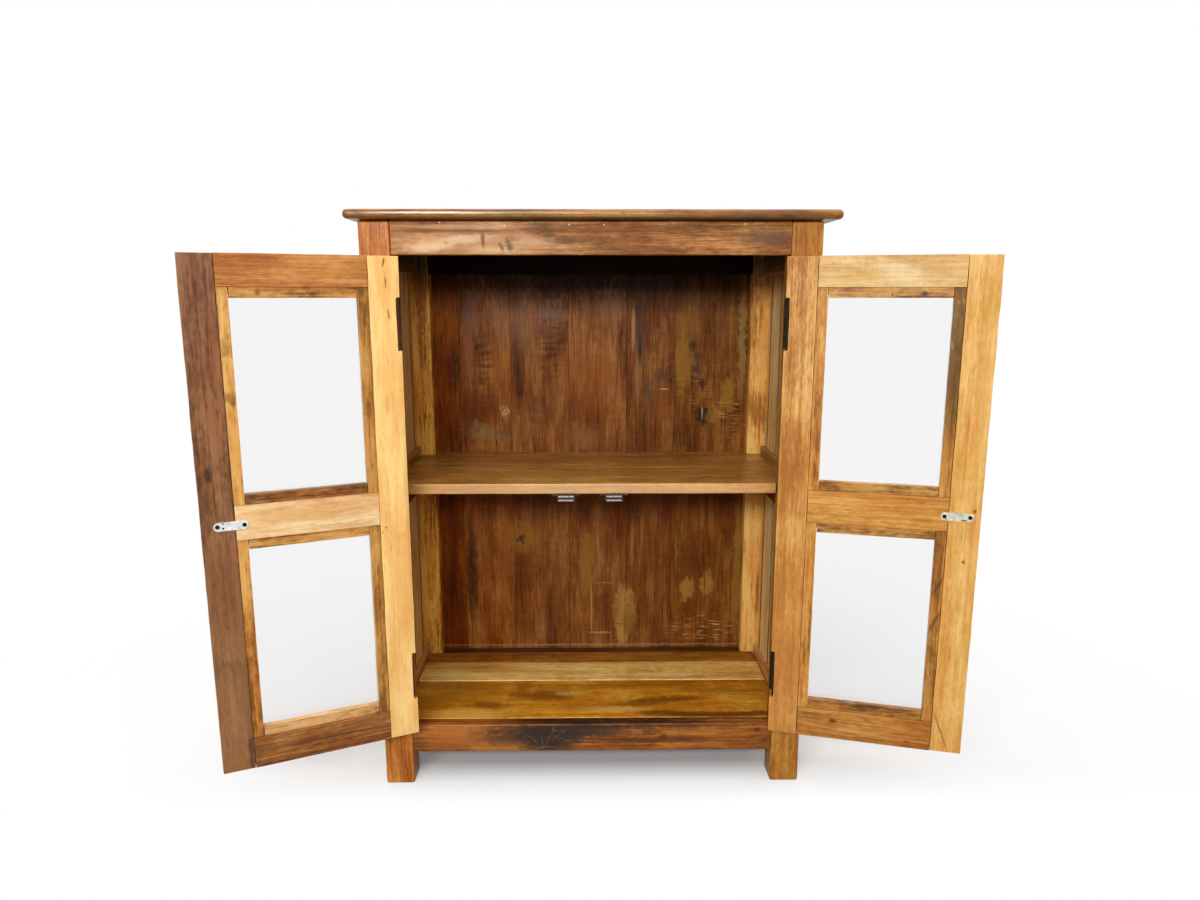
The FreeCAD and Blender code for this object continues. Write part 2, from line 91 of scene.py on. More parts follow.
RECORD = frame["record"]
BODY_OF = {node: body for body, nodes in RECORD["behaviour"]["bodies"].items() for node in nodes}
SLOT_OF = {row["node"]: row["material_slot"] for row in RECORD["subparts"]}
JOINT_OF = {joint["child"]: joint for joint in frame["joints"]}


def shut_angle(body):
    """How far a door turns from its open rest to shut."""
    return math.radians(max(JOINT_OF[body]["range_deg"], key=abs))


def shutting(body):
    """The turn that takes a door from its open rest to shut. The carcass doesn't turn."""
    if body not in JOINT_OF:
        return Matrix.Identity(4)
    pivot = Matrix.Translation(JOINT_OF[body]["pos_m"])
    return pivot @ Matrix.Rotation(shut_angle(body), 4, "Z") @ pivot.inverted()


def corners(points):
    """Lowest and highest corner round some points."""
    columns = list(zip(*points))
    return Vector(map(min, columns)), Vector(map(max, columns))


def span(node):
    """A node's lowest and highest corner, with the doors shut."""
    turn = shutting(BODY_OF[node])
    return corners([turn @ vert.co for vert in frame["nodes"][node].data.vertices])


def solid_spans(node):
    """The corners of each separate solid of a node, with the doors shut, from low and left up."""
    turn = shutting(BODY_OF[node])
    shape = bmesh.new()
    shape.from_mesh(frame["nodes"][node].data)
    bmesh.ops.remove_doubles(shape, verts=shape.verts, dist=WELD)
    waiting = set(shape.verts)
    boxes = []
    while waiting:
        edge = [waiting.pop()]
        island = []
        while edge:
            vert = edge.pop()
            island.append(turn @ vert.co)
            near = {link.other_vert(vert) for link in vert.link_edges} & waiting
            waiting -= near
            edge += near
        boxes.append(corners(island))
    shape.free()
    return sorted(boxes, key=lambda box: tuple(round(value, 4) for value in box[0]))


# Bench tools: each works on one piece as by hand

def only(piece):
    """Selects one piece and nothing else."""
    bpy.ops.object.select_all(action="DESELECT")
    piece.select_set(True)
    bpy.context.view_layer.objects.active = piece


@contextmanager
def at_bench(piece, part="EDGE"):
    """Opens one piece for shaping, with none of its edges or faces taken up."""
    only(piece)
    bpy.ops.object.mode_set(mode="EDIT")
    bpy.ops.mesh.select_mode(type=part)
    bpy.ops.mesh.select_all(action="DESELECT")
    yield
    bpy.ops.object.mode_set(mode="OBJECT")


def take_edges(piece, wanted):
    """Takes up the edges of an open piece that pass a test."""
    shape = bmesh.from_edit_mesh(piece.data)
    for edge in shape.edges:
        edge.select_set(wanted(edge))
    bmesh.update_edit_mesh(piece.data)


def runs_along(axis):
    """A test for edges that run along one axis."""
    return lambda edge: abs(edge.verts[0].co[axis] - edge.verts[1].co[axis]) > MM / 2


def block(name, low, high):
    """A squared blank between two corners, ready to be shaped."""
    bpy.ops.object.select_all(action="DESELECT")
    bpy.ops.mesh.primitive_cube_add(size=1, location=(low + high) / 2)
    piece = bpy.context.object
    piece.name = name
    piece.scale = high - low
    bpy.ops.object.transform_apply()
    return piece


def combine(piece, low, high, operation):
    """Cuts a box out of a piece (DIFFERENCE) or adds one to it (UNION)."""
    work_with(block("tool", low, high), piece, operation)


def drill(piece, centre, radius, depth):
    """Drills a round hole through a piece from front to back."""
    bpy.ops.object.select_all(action="DESELECT")
    bpy.ops.mesh.primitive_cylinder_add(
        vertices=DRILL_SIDES, radius=radius, depth=depth, location=centre, rotation=(math.radians(90), 0, 0),
    )
    work_with(bpy.context.object, piece, "DIFFERENCE")


def work_with(tool, piece, operation):
    """Cuts or joins a piece with a tool, which is used up."""
    only(piece)
    change = piece.modifiers.new("change", "BOOLEAN")
    change.operation = operation
    change.object = tool
    bpy.ops.object.modifier_apply(modifier=change.name)
    bpy.data.objects.remove(tool)


def ease_edges(piece, reach, profile=EDGE_PROFILE):
    """Rounds every sharp edge a little and leaves a ring of vertices where the flat begins."""
    with at_bench(piece):
        bpy.ops.mesh.edges_select_sharp(sharpness=SHARP_EDGE)
        bpy.ops.mesh.bevel(offset=reach, segments=EDGE_STEPS, profile=profile, clamp_overlap=True)


def cut_rings(piece, axis, spacing):
    """Cuts rings round a piece along its grain, so that its faces and edges can waver."""
    low, high = corners([vert.co for vert in piece.data.vertices])
    count = max(2, round((high - low)[axis] / spacing))
    with at_bench(piece):
        for index in range(1, count):
            bpy.ops.mesh.select_all(action="SELECT")
            bpy.ops.mesh.bisect(plane_co=low.lerp(high, index / count), plane_no=AXES[axis])


def note_wear(piece):
    """Stores on each vertex how far the surface rolls over an edge there, for the finish to rub."""
    shape = bmesh.new()
    shape.from_mesh(piece.data)
    layer = shape.verts.layers.float.new("wear")
    for vert in shape.verts:
        bends = [vert.normal.angle(face.normal, 0) for face in vert.link_faces]
        vert[layer] = min(1, max(bends) / FULL_WEAR_BEND)
    shape.to_mesh(piece.data)
    shape.free()


PLANE_MARKS = {}


def plane_by_hand(piece, depth, size):
    """Takes an uneven shaving off every face, never more than the depth."""
    if size not in PLANE_MARKS:
        marks = bpy.data.textures.new("hand plane marks", "CLOUDS")
        marks.noise_scale = size
        marks.noise_depth = 1
        PLANE_MARKS[size] = marks
    only(piece)
    shave = piece.modifiers.new("shave", "DISPLACE")
    shave.texture = PLANE_MARKS[size]
    shave.texture_coords = "LOCAL"
    shave.mid_level = 1
    shave.strength = depth
    bpy.ops.object.modifier_apply(modifier=shave.name)


def swing_open(piece, body):
    """Turns a piece made on the shut door to where the open door stands."""
    if body not in JOINT_OF:
        return
    hinge = JOINT_OF[body]["pos_m"]
    with at_bench(piece):
        bpy.ops.mesh.select_all(action="SELECT")
        bpy.ops.transform.rotate(value=shut_angle(body), orient_axis="Z", center_override=hinge)


def settle(piece, node, material):
    """Gives a finished piece its material and body, and lets it stand for its node."""
    if not piece.data.polygons:
        raise ValueError(f"{piece.name} has no faces left")
    body = BODY_OF[node]
    swing_open(piece, body)
    only(piece)
    bpy.ops.object.shade_smooth_by_angle(angle=SMOOTH_ANGLE)
    piece.data.materials.clear()
    piece.data.materials.append(material)
    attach(piece, body)
    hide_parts(node)


# Finishes

def linear(tone):
    """A linear colour from an sRGB hex tone."""
    parts = [int(tone[index:index + 2], 16) / 255 for index in (0, 2, 4)]
    return [part / 12.92 if part <= 0.04045 else ((part + 0.055) / 1.055) ** 2.4 for part in parts] + [1]


def add(tree, kind, inputs, out=0, **settings):
    """Adds a node with its settings, links or fills its inputs, and gives one of its outputs, if any."""
    made = tree.nodes.new("ShaderNode" + kind)
    for key, value in settings.items():
        setattr(made, key, value)
    for key, value in inputs.items():
        if isinstance(value, bpy.types.NodeSocket):
            tree.links.new(value, made.inputs[key])
        else:
            made.inputs[key].default_value = value
    return made.outputs[out] if made.outputs else None


def blank_material(name):
    """A new material and its empty node tree."""
    material = bpy.data.materials.new(name)
    material.use_nodes = True
    material.node_tree.nodes.clear()
    return material, material.node_tree


def uneven_gloss(tree, blotch, rough, swing):
    """A roughness that goes down and up with a surface's blotches."""
    ends = {"To Min": rough + swing[0], "To Max": rough + swing[1]}
    return add(tree, "MapRange", {"Value": blotch, **BLOTCH_LIMITS, **ends})


GRAIN_AXES = (
    Matrix.Identity(3),
    Matrix.Rotation(math.radians(-90), 3, "Z"),
    Matrix.Rotation(math.radians(90), 3, "Y"),
)


class Grain:
    """Where a board's grain runs: along its X, with the tree's heart off to one side."""

    def __init__(self, body, low, high, heart):
        size = high - low
        axis = max(range(3), key=lambda index: size[index])
        shut = shutting(body)
        self.axis = axis
        self.axes = GRAIN_AXES[axis]
        self.turn = self.axes @ shut.to_3x3()
        self.offset = Vector(heart) * MM - self.axes @ ((low + high) / 2)
        self.shift = self.axes @ shut.translation + self.offset

    def point(self, place):
        """A place on the shut cabinet, in millimetres, as the grain sees it."""
        return self.axes @ (Vector(place) * MM) + self.offset

    def size(self, half):
        """Half sizes on the shut cabinet, in millimetres, as the grain sees them."""
        turned = self.axes @ (Vector(half) * MM)
        return Vector(map(abs, turned))


# Layers of the wood's pattern: size along and across the grain in millimetres, then detail, and for some
# the limits below which a layer is 0 and above which it is 1
RING_WANDER = (500, 50, 2.0)
RING_SHIVER = (50, 9, 2.0)
FIBRES = (55, 2.4, 3.0)
STREAKS = (230, 6.5, 4.0)
BLOTCHES = (120, 40, 3.0)
GRIT = (16, 6, 5.0)
CURL = (9, 45, 2.0)
PORES = (10, 1.3, 1.0, 0.60, 0.72)
CHECKS = (60, 3.2, 2.0, 0.69, 0.73)
BLUSHES = (160, 30, 2.0, 0.40, 0.66)
TORN_RIMS = (16, 8, 4.0)
SCRATCHES = (1.6, 30, 1.0, 0.60, 0.68)
RUBBED_PATCHES = (40, 8, 3.0, 0.38, 0.62)

# How far rings stray, and how many rings they swell by at a knot
WANDER_REACH = 34 * MM
SHIVER_REACH = 3 * MM
KNOT_SWELL = 4
KNOT_RIM = 0.95
RING_SHARPNESS = 2.0
KNOT_SHARPNESS = 3.0

# How much knots and saw bites darken, and how high or deep each layer stands against the fibres
KNOT_TONE = 0.8
SAW_TONE = 0.34
SAW_RIM = 0.8
PORE_CUT = -0.6
CHECK_CUT = -1.0
SAW_CUT = -2.0
CURL_RISE = 0.3

# Limits of the saw's teeth and of the patches where a stain has worn through, and other shares
TEETH = {"From Min": 0.45, "From Max": 0.62}
WORN_THROUGH = {"From Min": 0.20, "From Max": 0.38}
TEAR = Vector((12, 4, 4)) * MM
NICK_SHARE = 0.12
RUB_STRENGTH = 0.5
LATE_WOOD_MEAN = 0.15
RELIEF_STRENGTH = 0.35
RELIEF_DEPTH = 0.5 * MM

# How the gloss of wood and of metal goes up and down with their blotches
BLOTCH_LIMITS = {"From Min": 0.3, "From Max": 0.7}
WOOD_GLOSS = (-0.09, 0.11)
SKIN_GLOSS = (-0.1, 0.12)


def varnished_teak(name, grain, tones, ring=6.0, figure=0.3, fibre=1.2, streak=1.3, cloud=1.2, mottle=0.9,
                   ripple=0.0, pores=0.3, checks=0.5, coarse=1.0, blush="f2dcc8", rough=0.42, shine=0.22,
                   ragged=4.0, knots=(), saws=(), marks=(), scuffs=()):
    """Old teak, sawn, hand-planed and varnished satin: growth rings in long loops, fine fibres and
    pores along the grain, streaks, blotches, drying checks, and edges where the colour is rubbed.
    Tones run from dark to light, the ring's width is in millimetres, and the other numbers weigh each
    of these. Fibres and pores are drawn about twice their real width, so that they show."""
    dark, middle, light = (linear(tone) for tone in tones)
    material, tree = blank_material(name)
    place = add(tree, "TexCoord", {}, out=3)
    turn = grain.turn.to_euler()
    board = add(tree, "Mapping", {"Vector": place, "Rotation": turn, "Location": grain.shift})

    def drawn_out(along, across, detail, low=None, high=None, out=0):
        """A layer of noise stretched along the grain, cut off at its limits if it has any."""
        wide = across * coarse
        scale = Vector((1 / along, 1 / wide, 1 / wide)) / MM
        stretched = add(tree, "VectorMath", {0: board, 1: scale}, operation="MULTIPLY")
        noise = add(tree, "TexNoise", {"Vector": stretched, "Scale": 1, "Detail": detail}, out=out)
        if low is None:
            return noise
        return add(tree, "MapRange", {"Value": noise, "From Min": low, "From Max": high})

    def heap(total, *layers):
        """Adds some layers to a value, each by its weight."""
        for layer, weight in layers:
            total = add(tree, "Math", {0: layer, 1: weight, 2: total}, operation="MULTIPLY_ADD")
        return total

    def overlap(mask, *others):
        """How far some masks overlap."""
        for other in others:
            mask = add(tree, "Math", {0: mask, 1: other}, operation="MULTIPLY")
        return mask

    def lay(tone, colour, *masks):
        """Lays a tone over a colour where some masks overlap."""
        share = overlap(*masks)
        return add(tree, "Mix", {0: share, 6: colour, 7: tone}, out=2, data_type="RGBA")

    def spot(vector, centre, half, soft, lean=0):
        """1 inside an ellipsoid on the board, which leans in the board's face, fading to 0 outside."""
        local = add(tree, "VectorMath", {0: vector, 1: grain.point(centre)}, operation="SUBTRACT")
        reach = grain.size(half)
        if lean:
            turned = [0, 0, 0]
            turned[max(range(3), key=lambda index: reach[index])] = math.radians(lean)
            local = add(tree, "Mapping", {"Vector": local, "Rotation": turned})
        scale = Vector([1 / value for value in reach])
        local = add(tree, "VectorMath", {0: local, 1: scale}, operation="MULTIPLY")
        away = add(tree, "VectorMath", {0: local}, out=1, operation="LENGTH")
        fade = {"Value": away, "From Min": 1 + soft, "From Max": 1 - soft}
        return add(tree, "MapRange", fade, interpolation_type="SMOOTHSTEP")

    # Growth rings round the heart, which wander and swell round knots
    across = add(tree, "VectorMath", {0: board, 1: (0, 1, 1)}, operation="MULTIPLY")
    radius = add(tree, "VectorMath", {0: across}, out=1, operation="LENGTH")
    knot_masks = [spot(board, centre, half, KNOT_RIM) for centre, half in knots]
    swells = [(mask, KNOT_SWELL * ring * MM) for mask in knot_masks]
    strays = [(drawn_out(*RING_WANDER), WANDER_REACH), (drawn_out(*RING_SHIVER), SHIVER_REACH)]
    radius = heap(radius, *strays, *swells)
    count = add(tree, "Math", {0: radius, 1: ring * MM}, operation="DIVIDE")
    part = add(tree, "Math", {0: count}, operation="FRACT")
    late = add(tree, "Math", {0: part, 1: RING_SHARPNESS}, operation="POWER")
    whole = add(tree, "Math", {0: count}, operation="FLOOR")
    year = add(tree, "TexWhiteNoise", {"W": whole}, noise_dimensions="1D")
    late = overlap(late, year)

    # Depth of tone, from light, 0, to dark, 1, and height of the surface
    layers = (FIBRES, STREAKS, BLOTCHES, GRIT, CURL, PORES, CHECKS)
    fine, broad, blotch, grit, curl, pore, check = (drawn_out(*layer) for layer in layers)
    even = 0.5 - 0.5 * (fibre + streak + cloud + mottle + ripple) - LATE_WOOD_MEAN * figure
    depth = heap(
        even, (fine, fibre), (broad, streak), (blotch, cloud), (grit, mottle), (curl, ripple),
        (late, figure), (pore, pores), (check, checks),
    )
    height = heap(fine, (pore, PORE_CUT), (check, CHECK_CUT), (curl, CURL_RISE))
    for mask in knot_masks:
        core = add(tree, "Math", {0: mask, 1: KNOT_SHARPNESS}, operation="POWER")
        depth = heap(depth, (core, KNOT_TONE))
    for centre, half in saws:
        teeth = add(tree, "MapRange", {"Value": curl, **TEETH})
        bite = overlap(spot(board, centre, half, SAW_RIM), teeth)
        depth = heap(depth, (bite, SAW_TONE))
        height = heap(height, (bite, SAW_CUT))

    # Light to middle over the first half of the depth, middle to dark over the second, and a blush
    colour = lay(middle, light, heap(0, (depth, 2)))
    colour = lay(dark, colour, heap(-1, (depth, 2)))
    tint = {0: drawn_out(*BLUSHES), 6: colour, 7: linear(blush)}
    colour = add(tree, "Mix", tint, out=2, data_type="RGBA", blend_type="MULTIPLY")

    # Stains, filler and scorch marks with ragged rims, and bundles of scratches across the grain
    if marks or scuffs:
        rim = drawn_out(*TORN_RIMS, out=1)
        rim = add(tree, "VectorMath", {0: rim, 1: (0.5, 0.5, 0.5)}, operation="SUBTRACT")
        torn, nicked = (
            add(tree, "VectorMath", {0: rim, 1: TEAR * share, 2: board}, operation="MULTIPLY_ADD")
            for share in (ragged, ragged * NICK_SHARE)
        )
        worn_through = add(tree, "MapRange", {"Value": grit, **WORN_THROUGH})
    for centre, half, tone, strength, soft, lean in marks:
        if min(half) < THIN_MARK:
            masks = [spot(nicked, centre, half, soft, lean), strength]
        else:
            masks = [spot(torn, centre, half, soft, lean), worn_through, strength]
        colour = lay(linear(tone), colour, *masks)
    for centre, half, tone, strength, soft, lean in scuffs:
        masks = [spot(torn, centre, half, soft, lean), drawn_out(*SCRATCHES), strength]
        colour = lay(linear(tone), colour, *masks)

    # Edges rubbed through the stain in patches
    wear = add(tree, "Attribute", {}, out=2, attribute_name="wear")
    colour = lay(light, colour, wear, drawn_out(*RUBBED_PATCHES), RUB_STRENGTH)

    roughness = uneven_gloss(tree, blotch, rough, WOOD_GLOSS)
    normal = add(tree, "Bump", {"Strength": RELIEF_STRENGTH, "Distance": RELIEF_DEPTH, "Height": height})
    surface = add(tree, "BsdfPrincipled", {
        "Base Color": colour, "Roughness": roughness, "Normal": normal, "Specular IOR Level": shine,
    })
    add(tree, "OutputMaterial", {"Surface": surface})
    return material


# Looks of the boards: tones from dark to light, and the marks that each one carries. Marks lie on the
# shut cabinet, in millimetres: a centre, half sizes, a tone, its strength, how soft its rim is, and a
# lean in degrees. Most go right through their board. A thin mark has a cleaner rim.

THROUGH = 600
THIN_MARK = 5
ENDLESS = 1400


def stain(x, z, half_x, half_z, tone, strength=0.6, soft=0.6, lean=0):
    """A mark on an upright board, seen from the front."""
    return (x, 0, z), (half_x, THROUGH, half_z), tone, strength, soft, lean


def blot(x, y, half_x, half_y, tone, strength=0.6, soft=0.6, lean=0):
    """A mark on a flat board, seen from above."""
    return (x, y, 0), (half_x, half_y, 2 * THROUGH), tone, strength, soft, lean


def stains(*rows):
    """Some marks on an upright board, later ones over earlier ones."""
    return [stain(*row) for row in rows]


def blots(*rows):
    """Some marks on a flat board, later ones over earlier ones."""
    return [blot(*row) for row in rows]


def fleck(x, z, strength=0.9):
    """A fleck of old white paint."""
    return stain(x, z, 1.2, 1.2, "f4ecdc", strength, 0.4)


def scratch(x, z, half_x, half_z, tone, strength, lean):
    """A pale scratch, which fades along its length."""
    return stain(x, z, half_x, half_z, tone, strength, 0.7, lean)


def painted_slot_shade(centre, half):
    """Painted shade: a near-black patch on one face of a board, for the dark hollow that shows through a slot in
    its strike plate.
    """
    return centre, half, "060403", 0.98, 0.3, 0


def knot(x, z, half_x, half_z):
    """Where a knot or a bite of the saw sits on an upright board."""
    return (x, 0, z), (half_x, THROUGH, half_z)


def on_face(mark, depth):
    """A mark made only as deep as one face of the back."""
    (x, _, z), (half_x, _, half_z), *rest = mark
    return ((x, depth, z), (half_x, FACE_REACH, half_z), *rest)


def wood(tones, **more):
    """A board's look: its tones, and what else sets it apart from plain teak."""
    return {"tones": tones.split(), **more}


# Painted shade under the top, on the inner faces of the back posts and sides
POST_TOP_SHADE = ((0, 128, 985), (ENDLESS, 34, 84), "140a04", 0.9, 0.4, 0)
SIDE_TOP_SHADE = [((x, 0, 990), (4.5, ENDLESS, 74), "140a04", 0.9, 0.5, 0) for x in (-353, -361, 353, 361)]

# Painted shade in the gaps between the side boards, its reach in millimetres
GAP_SHADE = ("241206", 0.85, 0.6, 0)
GAP_SHADE_REACH = 2.6

# The outer faces of the back posts and sides are toned down to plain teak, and their inner faces keep very light
# tones, painted light that brightens the shaded interior
OUTER_POST_TONE = [((x, 192, 530), (42, 46, 1600), "8a5418", 0.65, 0.5, 0) for x in (-379, 379)]
OUTER_SIDE_TONE = [((x, 0, 530), (4, ENDLESS, ENDLESS), "946020", 0.64, 0.5, 0) for x in (-371, 371)]

